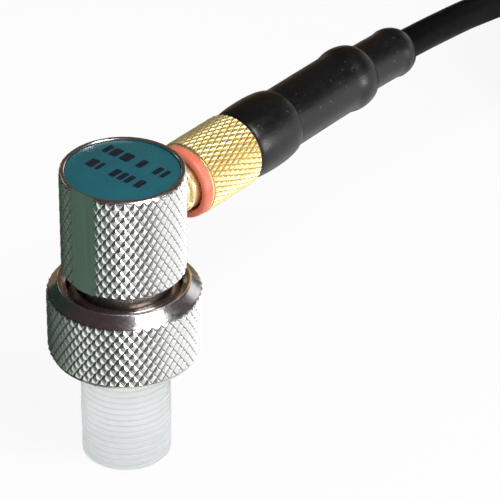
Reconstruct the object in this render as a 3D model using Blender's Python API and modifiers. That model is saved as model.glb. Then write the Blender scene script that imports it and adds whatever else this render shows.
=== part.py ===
"""Delay line ultrasonic transducer with its side plug, lead and far plug.

Metres, +Z up. The origin is the centre of the delay line's flat tip face, the transducer's
axis is +Z, and the side jack, its plug and the lead point along +X.
"""

import math

import bpy
import bmesh
from mathutils import Vector

MM = 0.001

# Clearances
FACE_GAP = 0.06 * MM        # between flat faces that seat on each other
SEAT_GAP = 0.05 * MM        # around a fixed piece in its bore
TURN_GAP = 0.08 * MM        # around and beside a piece that turns
CORD_GAP = 0.3 * MM         # between the lead's own solids
CUT_MARGIN = 0.3 * MM       # how far a cutter runs past the piece it cuts
MERGE = 0.002 * MM          # points nearer than this are one point

# Delay line
DELAY_LENGTH = 12.5 * MM
DELAY_FLANGE_THICKNESS = 1.3 * MM
DELAY_FLANGE_INSET = 0.15 * MM     # of the flange's rim from the shank's outside
DELAY_LEDGE = 0.65 * MM            # width of the flange beyond the rod
DELAY_EDGE = 0.1 * MM

# Case: knurled head, undercut neck and threaded shank
HEAD_WALL = 0.87 * MM
HEAD_HEIGHT = 9.25 * MM
HEAD_CHAMFER = 0.19 * MM
HEAD_TEETH = 42
HEAD_KNURL_PITCH = 1.12 * MM
HEAD_KNURL_DEPTH = 0.2 * MM
FLAT_HALF_WIDTH = 1.53 * MM
SHANK_LENGTH = 5.1 * MM
SHANK_WALL = 0.825 * MM
SHANK_CHAMFER = 0.2 * MM
NECK_DEPTH = 0.4 * MM
NECK_LENGTH = 1.5 * MM
CHAMBER_STEP = 0.525 * MM          # chamber's radius less the stack bore's
CHAMBER_HEIGHT = 6.4 * MM
LABEL_RIM = 0.5 * MM
LABEL_THICKNESS = 0.4 * MM
LABEL_RECESS = 0.14 * MM

# Acoustic stack inside the shank; the diameters of the case, ring and rod follow the element's
ELEMENT_RADIUS = 3.175 * MM
WEAR_PLATE_LEDGE = 0.175 * MM
WEAR_PLATE_THICKNESS = 0.45 * MM
ELEMENT_THICKNESS = 0.2 * MM
BACKING_BELOW_CHAMBER = 1.0 * MM
SLEEVE_ABOVE_BACKING = 0.5 * MM
SLEEVE_WALL = 0.4 * MM
POTTING_THICKNESS = 1.7 * MM
WIRE_RADIUS = 0.2 * MM
WIRE_CLEAR = 0.15 * MM
WIRE_POINT_SPACING = 0.7 * MM
WIRE_RISE = 0.5 * MM         # the bends where the wires join the jack
GROUND_WIRE_TURN = math.radians(42.0)
CONTACT_TAIL = 0.7 * MM

# Retaining ring
RING_WALL = 1.77 * MM
RING_CONE_WIDTH = 0.95 * MM
RING_CONE_HEIGHT = 0.89 * MM
RING_LIP_WIDTH = 0.12 * MM
RING_INNER_CHAMFER = 0.3 * MM
RING_RECESS = 0.9 * MM
RING_TO_HEAD = 1.0 * MM
RING_SHOULDER = 1.15 * MM
RING_EDGE = 0.3 * MM
RING_HOLE_CHAMFER = 0.3 * MM
RING_TEETH = 51
RING_KNURL_PITCH = 1.16 * MM
RING_KNURL_DEPTH = 0.22 * MM

# Side jack, along +X
JACK_BELOW_TOP = 4.62 * MM
JACK_STANDOFF = 1.0 * MM
JACK_THREAD_RADIUS = 2.41 * MM
JACK_THREAD_STEP = 0.16 * MM       # thread's radius less the barrel's
JACK_NECK_STEP = 0.4 * MM          # barrel's radius less the neck's
JACK_LIP = 0.14 * MM
JACK_THREAD_CHAMFER = 0.15 * MM
JACK_THREAD_RUNOUT = 0.2 * MM
JACK_ROOT_IN_WALL = 0.6 * MM
SOCKET_CLEAR = 0.3 * MM
JACK_THREAD_WALL = 0.91 * MM
JACK_BORE_STEP = 0.3 * MM          # socket bore's radius less the insulator's
JACK_CONTACT_WALL = 0.13 * MM
JACK_CONTACT_PROUD = 0.5 * MM

# Coupling nut and its gasket
NUT_SETBACK = 1.46 * MM
NUT_WALL = 0.71 * MM
NUT_LENGTH = 6.3 * MM
NUT_CHAMFER = 0.16 * MM
NUT_LIP = 1.3 * MM
NUT_TEETH = 41
NUT_KNURL_PITCH = 1.2 * MM
NUT_KNURL_DEPTH = 0.13 * MM
GASKET_STEP = 0.12 * MM            # nut's radius less the gasket's
GASKET_CLEAR = 0.09 * MM           # from the gasket's bore to the thread's outside
GASKET_NOSE_ROUND = 0.31 * MM
GASKET_PROUD = 0.9 * MM
GASKET_SEAT_DEPTH = 0.75 * MM
GASKET_SEAT_STEP = 0.2 * MM
GASKET_NOSE_LENGTH = 0.42 * MM
GASKET_NOSE_STEPS = 3
GASKET_INNER_BREAK = 0.3 * MM

# Plug body behind the nut, its contact and its crimp
PLUG_NOSE_WALL = 0.32 * MM
PLUG_NOSE_LENGTH = 3.0 * MM
PLUG_FLANGE_THICKNESS = 1.15 * MM
PLUG_SHAFT_WALL = 0.47 * MM
PLUG_SHAFT_LENGTH = 5.0 * MM
PIN_RADIUS = 0.18 * MM
PIN_REACH = 0.9 * MM
FERRULE_WALL = 0.3 * MM
FERRULE_PAST_SHAFT = 0.6 * MM
CABLE_IN_PLUG = 1.5 * MM

# Shrink sleeves over the plug and the lead
NUT_TO_BOOT = 0.15 * MM
BOOT_OUTER_WALL = 0.45 * MM
BOOT_OUTER_LENGTH = 6.35 * MM
BOOT_OUTER_ROUND = 2.2 * MM
BOOT_MIDDLE_WALL = 0.38 * MM
BOOT_MIDDLE_BULGE = 0.19 * MM
BOOT_MIDDLE_SHOWS = 11.6 * MM
BOOT_MIDDLE_ROUND = 2.0 * MM
BOOT_MIDDLE_INSET = 0.35 * MM
BOOT_INNER_WALL = 0.71 * MM
BOOT_INNER_BULGE = 0.1 * MM
BOOT_INNER_SHOWS = 6.3 * MM
BOOT_INNER_ROUND = 1.7 * MM
BOOT_END_WALL = 0.1 * MM     # of each sleeve at its very end
BOOT_SHOULDER = 0.9 * MM     # of the outer sleeve, shrunk in at the front
BOOT_SHOULDER_LOW = 0.15 * MM
BOOT_SHRINK_HIGH = 0.25      # shares of the wall shrunk in at the two shoulder points
BOOT_SHRINK_LOW = 0.6
BOOT_SWELL_START = 3.0 * MM
BOOT_SWELL_END = 5.0 * MM
BOOT_INNER_SWELL_END = 3.4 * MM

# Lead: the plug's tail and the cable droop by a square law past DROOP_START
CABLE_DIAMETER = 2.7 * MM
DROOP_START = 25.0 * MM
DROOP_STATION = 3.5 * MM
DROOP_STATIONS = 4
DROOP_PER_METRE = 2.7       # metres of drop for each square metre past the start
FREE_ROUTE_MM = [           # x, y and height over a lead that rests on the hank
    (54.0, 0.0, 1.75),
    (60.0, -0.35, 1.05),
    (66.0, -1.5, 0.55),
    (72.0, -3.6, 0.35),
]

# Hank: the lead is folded in six layers of two turns each, pinched at the waist by a tie
HANK_START_X = 65.0 * MM
HANK_HALF_RUN = 26.8 * MM
HANK_LOOP_RADIUS = 8.975 * MM      # of the line midway between the two turns
HANK_WAIST_GAP = 0.05 * MM         # between the two sides of the hank at the tie
HANK_WAIST_HALF_LENGTH = 3.6 * MM
HANK_TURN_GAP = 0.05 * MM
HANK_LAYER_GAP = 0.02 * MM
HANK_LAYERS = 6
HANK_EYE_HALF_WIDTH = 0.6 * MM     # where the openings inside the end loops begin
HANK_STATIONS = 7
HANK_LOOP_STATIONS = 12
TIE_THICKNESS = 0.4 * MM
TIE_WIDTH = 6.0 * MM
TAIL_STRAIGHT = 9.0 * MM
TAIL_BEND_START = Vector((0.0, 0.4, 0.35)) * MM
TAIL_BEND_END = Vector((1.0, 0.1, 0.1)) * MM
TAIL_POINT_SPACING = 2.5 * MM

# Far plug: a quarter-turn bayonet coaxial plug that lies on the table past the hank
FAR_START_X = 151.0 * MM
FAR_Y = -4.4 * MM
FAR_BOOT_LENGTH = 13.0 * MM
FAR_BOOT_REAR_WALL = 0.67 * MM
FAR_BOOT_TAPER = 2.0 * MM
FAR_EDGE = 0.4 * MM
FAR_BOOT_FRONT_WALL = 0.9 * MM
FAR_FERRULE_WALL = 1.32 * MM
FAR_FERRULE_IN_BOOT = 7.0 * MM
FAR_COLLAR_STEP = 0.7 * MM         # collar's radius less the shaft's
FAR_COLLAR_LENGTH = 2.6 * MM
FAR_BOOT_TO_COLLAR = 1.0 * MM
FAR_SHAFT_STEP = 0.6 * MM          # flange's radius less the shaft's
FAR_LIP_LENGTH = 2.5 * MM
FAR_FLANGE_CLEAR = 0.15 * MM       # from the flange to the sleeve's bore
FAR_FLANGE_THICKNESS = 1.4 * MM
FAR_TUBE_BORE = 3.45 * MM
FAR_TUBE_WALL = 0.6 * MM
FAR_TUBE_LENGTH = 8.0 * MM
FAR_SLEEVE_PROUD = 1.6 * MM
FAR_INSULATOR_PROUD = 1.2 * MM
FAR_PIN_RADIUS = 0.68 * MM
FAR_PIN_SETBACK = 1.2 * MM
FAR_SLEEVE_CLEAR = 0.9 * MM        # from the tube to the sleeve's bore
FAR_NOSE_WALL = 1.15 * MM
FAR_NOSE_LENGTH = 7.6 * MM
FAR_GRIP_STEP = 1.1 * MM           # grip's radius less the nose's
FAR_GRIP_CHAMFER = 0.4 * MM
FAR_SLOT_RADIUS = 1.05 * MM
FAR_SLOT_TURN = 48.0        # degrees from the slot's mouth to its detent
FAR_SLOT_RISE = 4.6 * MM
FAR_SLOT_STRAIGHT = 1.6 * MM
FAR_SLOT_STEPS = 6
FAR_GASKET_THICKNESS = 0.9 * MM

# Facets around a turned piece
FINE = 28
MEDIUM = 20
COARSE = 16
HIDDEN = 12
SMALL = 8

# Sizes and places worked out from these
SLEEVE_INNER = ELEMENT_RADIUS + SEAT_GAP
SLEEVE_OUTER = SLEEVE_INNER + SLEEVE_WALL
STACK_BORE = SLEEVE_OUTER + SEAT_GAP
WEAR_PLATE_RADIUS = STACK_BORE + WEAR_PLATE_LEDGE
SHANK_RADIUS = STACK_BORE + SHANK_WALL
NECK_RADIUS = SHANK_RADIUS - NECK_DEPTH
CHAMBER_RADIUS = STACK_BORE + CHAMBER_STEP
HEAD_RADIUS = CHAMBER_RADIUS + HEAD_WALL
LABEL_RADIUS = HEAD_RADIUS - LABEL_RIM
DELAY_FLANGE_RADIUS = SHANK_RADIUS - DELAY_FLANGE_INSET
DELAY_RADIUS = DELAY_FLANGE_RADIUS - DELAY_LEDGE
RING_BORE = SHANK_RADIUS + TURN_GAP
RING_HOLE = DELAY_RADIUS + TURN_GAP
RING_RADIUS = RING_BORE + RING_WALL
RING_LIP_RADIUS = RING_RADIUS - RING_CONE_WIDTH

CASE_BOTTOM = DELAY_LENGTH + FACE_GAP
HEAD_BOTTOM = CASE_BOTTOM + SHANK_LENGTH
HEAD_TOP = HEAD_BOTTOM + HEAD_HEIGHT
JACK_Z = HEAD_TOP - JACK_BELOW_TOP
LABEL_SEAT = HEAD_TOP - LABEL_RECESS - LABEL_THICKNESS - FACE_GAP
CHAMBER_FLOOR = LABEL_SEAT - CHAMBER_HEIGHT
WEAR_PLATE_TOP = CASE_BOTTOM + WEAR_PLATE_THICKNESS
ELEMENT_BOTTOM = WEAR_PLATE_TOP + SEAT_GAP
BACKING_BOTTOM = ELEMENT_BOTTOM + ELEMENT_THICKNESS + SEAT_GAP
BACKING_TOP = CHAMBER_FLOOR - BACKING_BELOW_CHAMBER
FLANGE_UNDERSIDE = DELAY_LENGTH - DELAY_FLANGE_THICKNESS
RING_SEAT = FLANGE_UNDERSIDE - TURN_GAP
RING_BOTTOM = RING_SEAT - RING_SHOULDER
RING_TOP = HEAD_BOTTOM - RING_TO_HEAD

JACK_BARREL_RADIUS = JACK_THREAD_RADIUS - JACK_THREAD_STEP
JACK_NECK_RADIUS = JACK_BARREL_RADIUS - JACK_NECK_STEP
JACK_BORE_RADIUS = JACK_THREAD_RADIUS - JACK_THREAD_WALL
JACK_INSULATOR_RADIUS = JACK_BORE_RADIUS - JACK_BORE_STEP
JACK_CONTACT_RADIUS = PIN_RADIUS + SEAT_GAP + JACK_CONTACT_WALL
NUT_BORE = JACK_THREAD_RADIUS + TURN_GAP
NUT_RADIUS = NUT_BORE + NUT_WALL
GASKET_RADIUS = NUT_RADIUS - GASKET_STEP
GASKET_FRONT_RADIUS = GASKET_RADIUS - GASKET_NOSE_ROUND
GASKET_SEAT_RADIUS = GASKET_RADIUS - GASKET_SEAT_STEP
GASKET_INNER_RADIUS = JACK_THREAD_RADIUS + GASKET_CLEAR
CABLE_RADIUS = CABLE_DIAMETER / 2
CABLE_BORE = CABLE_RADIUS + TURN_GAP
PLUG_NOSE_RADIUS = JACK_BORE_RADIUS - TURN_GAP
PLUG_INSULATOR_RADIUS = PLUG_NOSE_RADIUS - PLUG_NOSE_WALL - SEAT_GAP
PLUG_SHAFT_RADIUS = CABLE_BORE + PLUG_SHAFT_WALL
FERRULE_RADIUS = PLUG_SHAFT_RADIUS + SEAT_GAP + FERRULE_WALL
BOOT_INNER_RADIUS = CABLE_BORE + BOOT_INNER_WALL
BOOT_MIDDLE_RADIUS = FERRULE_RADIUS + SEAT_GAP + BOOT_MIDDLE_WALL
BOOT_OUTER_RADIUS = BOOT_MIDDLE_RADIUS + SEAT_GAP + BOOT_OUTER_WALL

BARREL_FACE = HEAD_RADIUS + JACK_STANDOFF
JACK_ROOT = CHAMBER_RADIUS - JACK_ROOT_IN_WALL
NUT_FRONT = BARREL_FACE + NUT_SETBACK
NUT_REAR = NUT_FRONT + NUT_LENGTH
NUT_LIP_FACE = NUT_REAR - NUT_LIP
PLUG_FLANGE_REAR = NUT_LIP_FACE - TURN_GAP
PLUG_FLANGE_FRONT = PLUG_FLANGE_REAR - PLUG_FLANGE_THICKNESS
JACK_MOUTH = PLUG_FLANGE_FRONT - SEAT_GAP
PLUG_NOSE_TIP = PLUG_FLANGE_FRONT - PLUG_NOSE_LENGTH
JACK_CONTACT_TIP = PLUG_NOSE_TIP + JACK_CONTACT_PROUD
GASKET_FRONT = NUT_FRONT - GASKET_PROUD
GASKET_REAR = NUT_FRONT + GASKET_SEAT_DEPTH
BOOT_FRONT = NUT_REAR + NUT_TO_BOOT
BOOT_OUTER_END = BOOT_FRONT + BOOT_OUTER_LENGTH
BOOT_MIDDLE_END = BOOT_OUTER_END + BOOT_MIDDLE_SHOWS
BOOT_INNER_END = BOOT_MIDDLE_END + BOOT_INNER_SHOWS
PLUG_SHAFT_END = PLUG_FLANGE_REAR + PLUG_SHAFT_LENGTH
FERRULE_FRONT = BOOT_FRONT + SEAT_GAP
FERRULE_END = PLUG_SHAFT_END + FERRULE_PAST_SHAFT
CABLE_START = PLUG_FLANGE_REAR + CABLE_IN_PLUG

HANK_TURN_PITCH = CABLE_DIAMETER + HANK_TURN_GAP
HANK_LAYER_PITCH = CABLE_DIAMETER + HANK_LAYER_GAP
HANK_WAIST = HANK_TURN_PITCH + HANK_WAIST_GAP / 2
HANK_FLOOR = TIE_THICKNESS + SEAT_GAP
HANK_TOP = HANK_FLOOR + CABLE_DIAMETER + (HANK_LAYERS - 1) * HANK_LAYER_PITCH
LEAD_REST_Z = HANK_TOP + CABLE_RADIUS
HANK_REACH = HANK_TURN_PITCH / 2 + CABLE_RADIUS
HANK_CENTRE_X = HANK_START_X + HANK_HALF_RUN + HANK_LOOP_RADIUS + HANK_REACH
TAIL_START_X = HANK_CENTRE_X + HANK_HALF_RUN
TAIL_START_Y = -(HANK_LOOP_RADIUS + HANK_TURN_PITCH / 2)
TAIL_START_Z = HANK_FLOOR + CABLE_RADIUS

FAR_FERRULE_RADIUS = CABLE_BORE + FAR_FERRULE_WALL
FAR_BOOT_FRONT_RADIUS = FAR_FERRULE_RADIUS + SEAT_GAP + FAR_BOOT_FRONT_WALL
FAR_BOOT_REAR_RADIUS = CABLE_BORE + FAR_BOOT_REAR_WALL
FAR_TUBE_RADIUS = FAR_TUBE_BORE + FAR_TUBE_WALL
FAR_SLEEVE_BORE = FAR_TUBE_RADIUS + FAR_SLEEVE_CLEAR
FAR_FLANGE_RADIUS = FAR_SLEEVE_BORE - FAR_FLANGE_CLEAR
FAR_SHAFT_RADIUS = FAR_FLANGE_RADIUS - FAR_SHAFT_STEP
FAR_COLLAR_RADIUS = FAR_SHAFT_RADIUS + FAR_COLLAR_STEP
FAR_NOSE_RADIUS = FAR_SLEEVE_BORE + FAR_NOSE_WALL
FAR_GRIP_RADIUS = FAR_NOSE_RADIUS + FAR_GRIP_STEP
FAR_Z = FAR_GRIP_RADIUS
FAR_BOOT_END = FAR_START_X + FAR_BOOT_LENGTH
FAR_FERRULE_START = FAR_BOOT_END - FAR_FERRULE_IN_BOOT
FAR_COLLAR_START = FAR_BOOT_END + FAR_BOOT_TO_COLLAR
FAR_COLLAR_END = FAR_COLLAR_START + FAR_COLLAR_LENGTH
FAR_SLEEVE_START = FAR_COLLAR_END + TURN_GAP
FAR_FLANGE_START = FAR_SLEEVE_START + FAR_LIP_LENGTH + TURN_GAP
FAR_FLANGE_END = FAR_FLANGE_START + FAR_FLANGE_THICKNESS
FAR_TUBE_END = FAR_FLANGE_END + FAR_TUBE_LENGTH
FAR_SLEEVE_END = FAR_TUBE_END + FAR_SLEEVE_PROUD

SCENE = bpy.context.scene
for old in list(bpy.data.objects):
    bpy.data.objects.remove(old, do_unlink=True)
PARTS = bpy.data.collections.new("delay_line_transducer")
CUTTERS = bpy.data.collections.new("cutters")
SCENE.collection.children.link(PARTS)
SCENE.collection.children.link(CUTTERS)


def material(name, colour, metallic, roughness):
    """A Principled material with one colour."""
    mat = bpy.data.materials.get(name)
    if mat is None:
        mat = bpy.data.materials.new(name)
        mat.use_nodes = True
        shader = mat.node_tree.nodes["Principled BSDF"]
        shader.inputs["Base Color"].default_value = (*colour, 1.0)
        shader.inputs["Metallic"].default_value = metallic
        shader.inputs["Roughness"].default_value = roughness
    return mat


STEEL = material("stainless_steel", (0.62, 0.62, 0.60), 1.0, 0.28)
GOLD = material("gold_plate", (0.90, 0.74, 0.38), 1.0, 0.25)
NICKEL = material("nickel_plate", (0.70, 0.69, 0.66), 1.0, 0.22)
BLUE_LABEL = material("blue_label", (0.02, 0.14, 0.19), 0.0, 0.3)
FROSTED = material("frosted_plastic", (0.82, 0.84, 0.80), 0.0, 0.45)
RED_SILICONE = material("red_silicone", (0.75, 0.10, 0.05), 0.0, 0.5)
BLACK_SHRINK = material("black_shrink_sleeve", (0.015, 0.015, 0.016), 0.0, 0.45)
BLACK_JACKET = material("black_jacket", (0.01, 0.01, 0.011), 0.0, 0.4)
WHITE_INSULATOR = material("white_insulator", (0.85, 0.85, 0.82), 0.0, 0.4)
POTTING_RESIN = material("potting_resin", (0.03, 0.03, 0.035), 0.0, 0.4)
CERAMIC = material("piezo_ceramic", (0.55, 0.50, 0.38), 0.0, 0.6)
TUNGSTEN_RESIN = material("backing_resin", (0.09, 0.09, 0.10), 0.0, 0.7)
MATCHING = material("matching_layer", (0.35, 0.36, 0.38), 0.0, 0.5)
COPPER = material("copper_wire", (0.80, 0.42, 0.25), 1.0, 0.3)
TIE_FABRIC = material("tie_fabric", (0.02, 0.02, 0.02), 0.0, 0.9)


def add_object(name, mesh, mat, collection=PARTS):
    """Link a mesh as a named object with one material."""
    obj = bpy.data.objects.new(name, mesh)
    if mat is not None:
        mesh.materials.append(mat)
    collection.objects.link(obj)
    if collection is CUTTERS:
        obj.hide_render = True
        obj.display_type = 'WIRE'
    return obj


def lay_along_x(obj):
    """Turn a piece made about Z so that its axis is the jack's axis, +Z becoming +X."""
    obj.location = (0.0, 0.0, JACK_Z)
    obj.rotation_euler = (0.0, math.radians(90.0), 0.0)
    return obj


def turned(name, outline, mat, steps, closed=True, collection=PARTS):
    """Turn an (r, z) outline about Z; it runs down the outer side first."""
    mesh = bpy.data.meshes.new(name)
    count = len(outline)
    edges = [(i, i + 1) for i in range(count - 1)]
    if closed:
        edges.append((count - 1, 0))
    mesh.from_pydata([(r, 0.0, z) for r, z in outline], edges, [])
    obj = add_object(name, mesh, mat, collection)
    screw = obj.modifiers.new("Screw", 'SCREW')
    screw.steps = steps
    screw.render_steps = steps
    screw.use_merge_vertices = True
    screw.merge_threshold = MERGE
    return obj


def turned_solid(name, outline, mat, steps, collection=PARTS):
    """A turned piece whose outline starts and ends on the axis."""
    return turned(name, outline, mat, steps, closed=False, collection=collection)


def tube_outline(outer, inner, low, high):
    """Outline of a plain tube."""
    return [(outer, high), (outer, low), (inner, low), (inner, high)]


def disc_outline(radius, low, high):
    """Outline of a plain disc."""
    return [(0.0, high), (radius, high), (radius, low), (0.0, low)]


def smooth(obj, angle=35.0):
    """Shade round, with sharp edges kept."""
    obj.data.shade_smooth()
    obj.data.set_sharp_from_angle(angle=math.radians(angle))
    return obj


def boolean(obj, cutter, operation):
    """Add an exact Boolean modifier."""
    mod = obj.modifiers.new(cutter.name, 'BOOLEAN')
    mod.operation = operation
    mod.solver = 'EXACT'
    mod.object = cutter
    return mod


def knurled_blank(name, radius, depth, teeth, pitch, bottom, low, high, top, mat):
    """A closed turned blank whose side is a diamond knurl: pointed pyramids in offset rows.

    A flat grid is wrapped round the axis. Between low and high its points are crests and
    roots by turns, and each square is split between its two roots, so every crest gets four
    sloping faces. bottom and top are the plain (r, z) rings before and after the knurl; the
    knurl's outermost roots slide along the slope to the next plain ring.
    """
    steps = round((high - low) / (pitch / 2))
    rows = [(r, r, z, z) for r, z in bottom]
    for k in range(steps + 1):
        z = low + (high - low) * k / steps
        root_z = z
        if k in (0, steps):
            ring_r, ring_z = bottom[-1] if k == 0 else top[0]
            root_z += (ring_z - z) * min(0.8, depth / (radius - ring_r))
        rows.append((radius, radius - depth, z, root_z))
    rows += [(r, r, z, z) for r, z in top]
    columns = 2 * teeth
    last = len(rows) - 1
    bm = bmesh.new()
    bmesh.ops.create_grid(bm, x_segments=columns, y_segments=last, size=1.0)
    roots = []
    for vert in bm.verts:
        column = round((vert.co.x + 1.0) / 2.0 * columns)
        row = round((vert.co.y + 1.0) / 2.0 * last)
        crest_r, root_r, crest_z, root_z = rows[row]
        is_root = (column + row) % 2 == 1
        r, z = (root_r, root_z) if is_root else (crest_r, crest_z)
        angle = 2.0 * math.pi * column / columns
        vert.co = Vector((r * math.cos(angle), r * math.sin(angle), z))
        if is_root:
            roots.append(vert)
    bmesh.ops.connect_verts(bm, verts=roots)
    bmesh.ops.remove_doubles(bm, verts=bm.verts, dist=MERGE)
    rims = [edge for edge in bm.edges if edge.is_boundary]
    bmesh.ops.holes_fill(bm, edges=rims, sides=0)
    bmesh.ops.recalc_face_normals(bm, faces=bm.faces)
    mesh = bpy.data.meshes.new(name)
    bm.to_mesh(mesh)
    bm.free()
    return add_object(name, mesh, mat)


def box_cutter(name, low, high):
    """A box between two corners, as a cutter."""
    bm = bmesh.new()
    bmesh.ops.create_cube(bm, size=1.0)
    low = Vector(low)
    high = Vector(high)
    size = high - low
    for vert in bm.verts:
        vert.co = low + Vector(((vert.co.x + 0.5) * size.x, (vert.co.y + 0.5) * size.y,
                                (vert.co.z + 0.5) * size.z))
    mesh = bpy.data.meshes.new(name)
    bm.to_mesh(mesh)
    bm.free()
    return add_object(name, mesh, None, CUTTERS)


def smooth_path(points, spacing):
    """Points about spacing apart on a smooth curve through the given points."""
    ends = [points[0] * 2 - points[1]] + points + [points[-1] * 2 - points[-2]]
    path = []
    for i in range(1, len(ends) - 2):
        p0, p1, p2, p3 = ends[i - 1:i + 3]
        parts = max(1, round((p2 - p1).length / spacing))
        for k in range(parts):
            t = k / parts
            path.append(0.5 * ((2 * p1) + (p2 - p0) * t
                               + (2 * p0 - 5 * p1 + 4 * p2 - p3) * t * t
                               + (3 * p1 - p0 - 3 * p2 + p3) * t ** 3))
    path.append(points[-1].copy())
    return path


def round_wire(name, points, radius, resolution, mat):
    """A capped round wire along points."""
    curve = bpy.data.curves.new(name, 'CURVE')
    curve.dimensions = '3D'
    spline = curve.splines.new('POLY')
    spline.points.add(len(points) - 1)
    for target, point in zip(spline.points, points):
        target.co = (*point, 1.0)
    curve.bevel_depth = radius
    curve.bevel_resolution = resolution
    curve.use_fill_caps = True
    curve.materials.append(mat)
    obj = bpy.data.objects.new(name, curve)
    PARTS.objects.link(obj)
    return obj


def drop(x):
    """How far the plug's tail and the lead hang below the jack's axis at x."""
    return DROOP_PER_METRE * max(0.0, x - DROOP_START) ** 2


def wall(radius, start, end):
    """(r, x) points of a straight wall from start to end, one more at each droop station."""
    stations = [DROOP_START + DROOP_STATION * i for i in range(DROOP_STATIONS)]
    between = [x for x in stations if min(start, end) < x < max(start, end)]
    if end < start:
        between.reverse()
    return [(radius, x) for x in [start] + between + [end]]


def droop(obj):
    """Bend a turned piece on the jack's axis down along the lead's line."""
    graph = bpy.context.evaluated_depsgraph_get()
    mesh = bpy.data.meshes.new_from_object(obj.evaluated_get(graph))
    matrix = obj.matrix_world.copy()
    for vert in mesh.vertices:
        place = matrix @ vert.co
        place.z -= drop(place.x)
        vert.co = place
    obj.modifiers.clear()
    obj.data = mesh
    obj.location = (0.0, 0.0, 0.0)
    obj.rotation_euler = (0.0, 0.0, 0.0)
    return obj


# Delay line

def make_delay_line():
    """Plastic rod with a clamping flange at the top."""
    smooth(turned_solid("delay_line", [
        (0.0, DELAY_LENGTH), (DELAY_FLANGE_RADIUS, DELAY_LENGTH),
        (DELAY_FLANGE_RADIUS, FLANGE_UNDERSIDE), (DELAY_RADIUS, FLANGE_UNDERSIDE),
        (DELAY_RADIUS, DELAY_EDGE), (DELAY_RADIUS - DELAY_EDGE, 0.0), (0.0, 0.0)],
        FROSTED, FINE))


# Case

def make_case():
    """Knurled head with a milled flat, undercut neck and shank, bored through."""
    rim = HEAD_RADIUS - HEAD_CHAMFER
    case = knurled_blank("case", HEAD_RADIUS, HEAD_KNURL_DEPTH, HEAD_TEETH, HEAD_KNURL_PITCH,
                         [(rim, HEAD_BOTTOM)], HEAD_BOTTOM + HEAD_CHAMFER,
                         HEAD_TOP - HEAD_CHAMFER, [(rim, HEAD_TOP)], STEEL)
    shank = turned_solid("shank", [
        (0.0, HEAD_BOTTOM + HEAD_HEIGHT / 3), (NECK_RADIUS, HEAD_BOTTOM + HEAD_HEIGHT / 3),
        (NECK_RADIUS, HEAD_BOTTOM - NECK_LENGTH),
        (SHANK_RADIUS - SHANK_CHAMFER, HEAD_BOTTOM - NECK_LENGTH),
        (SHANK_RADIUS, HEAD_BOTTOM - NECK_LENGTH - SHANK_CHAMFER),
        (SHANK_RADIUS, CASE_BOTTOM + SHANK_CHAMFER),
        (SHANK_RADIUS - SHANK_CHAMFER, CASE_BOTTOM), (0.0, CASE_BOTTOM)], None, FINE, CUTTERS)
    bore = turned_solid("case_bore", [
        (0.0, HEAD_TOP + CUT_MARGIN), (LABEL_RADIUS + SEAT_GAP, HEAD_TOP + CUT_MARGIN),
        (LABEL_RADIUS + SEAT_GAP, LABEL_SEAT), (CHAMBER_RADIUS, LABEL_SEAT),
        (CHAMBER_RADIUS, CHAMBER_FLOOR), (STACK_BORE, CHAMBER_FLOOR),
        (STACK_BORE, WEAR_PLATE_TOP + SEAT_GAP),
        (WEAR_PLATE_RADIUS + SEAT_GAP, WEAR_PLATE_TOP + SEAT_GAP),
        (WEAR_PLATE_RADIUS + SEAT_GAP, CASE_BOTTOM - CUT_MARGIN),
        (0.0, CASE_BOTTOM - CUT_MARGIN)], None, FINE, CUTTERS)
    flat_x = -math.sqrt(HEAD_RADIUS ** 2 - FLAT_HALF_WIDTH ** 2)
    flat = box_cutter("flat_cutter", (-2 * HEAD_RADIUS, -HEAD_RADIUS, HEAD_BOTTOM - CUT_MARGIN),
                      (flat_x, HEAD_RADIUS, HEAD_TOP + CUT_MARGIN))
    jack_hole = turned_solid("jack_hole", disc_outline(
        JACK_NECK_RADIUS + SEAT_GAP, JACK_ROOT - CUT_MARGIN, HEAD_RADIUS + CUT_MARGIN),
        None, COARSE, CUTTERS)
    lay_along_x(jack_hole)
    boolean(case, flat, 'DIFFERENCE')
    boolean(case, shank, 'UNION')
    boolean(case, bore, 'DIFFERENCE')
    boolean(case, jack_hole, 'DIFFERENCE')


def make_label_disc():
    """Thin blue disc that closes the top of the head."""
    low = LABEL_SEAT + FACE_GAP
    smooth(turned_solid("label_disc", disc_outline(LABEL_RADIUS, low, low + LABEL_THICKNESS),
                        BLUE_LABEL, FINE))


def make_acoustic_stack():
    """Matching layer, element, backing, their sleeve and the potting above the jack."""
    smooth(turned_solid("wear_plate", disc_outline(
        WEAR_PLATE_RADIUS, CASE_BOTTOM, WEAR_PLATE_TOP), MATCHING, MEDIUM))
    smooth(turned_solid("piezo_element", disc_outline(
        ELEMENT_RADIUS, ELEMENT_BOTTOM, ELEMENT_BOTTOM + ELEMENT_THICKNESS), CERAMIC, MEDIUM))
    smooth(turned_solid("backing", disc_outline(
        ELEMENT_RADIUS, BACKING_BOTTOM, BACKING_TOP), TUNGSTEN_RESIN, MEDIUM))
    smooth(turned("insulating_sleeve", tube_outline(
        SLEEVE_OUTER, SLEEVE_INNER, ELEMENT_BOTTOM, BACKING_TOP + SLEEVE_ABOVE_BACKING),
        WHITE_INSULATOR, MEDIUM))
    high = LABEL_SEAT
    smooth(turned_solid("potting", disc_outline(
        CHAMBER_RADIUS - SEAT_GAP, high - POTTING_THICKNESS, high), POTTING_RESIN, MEDIUM))


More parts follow.
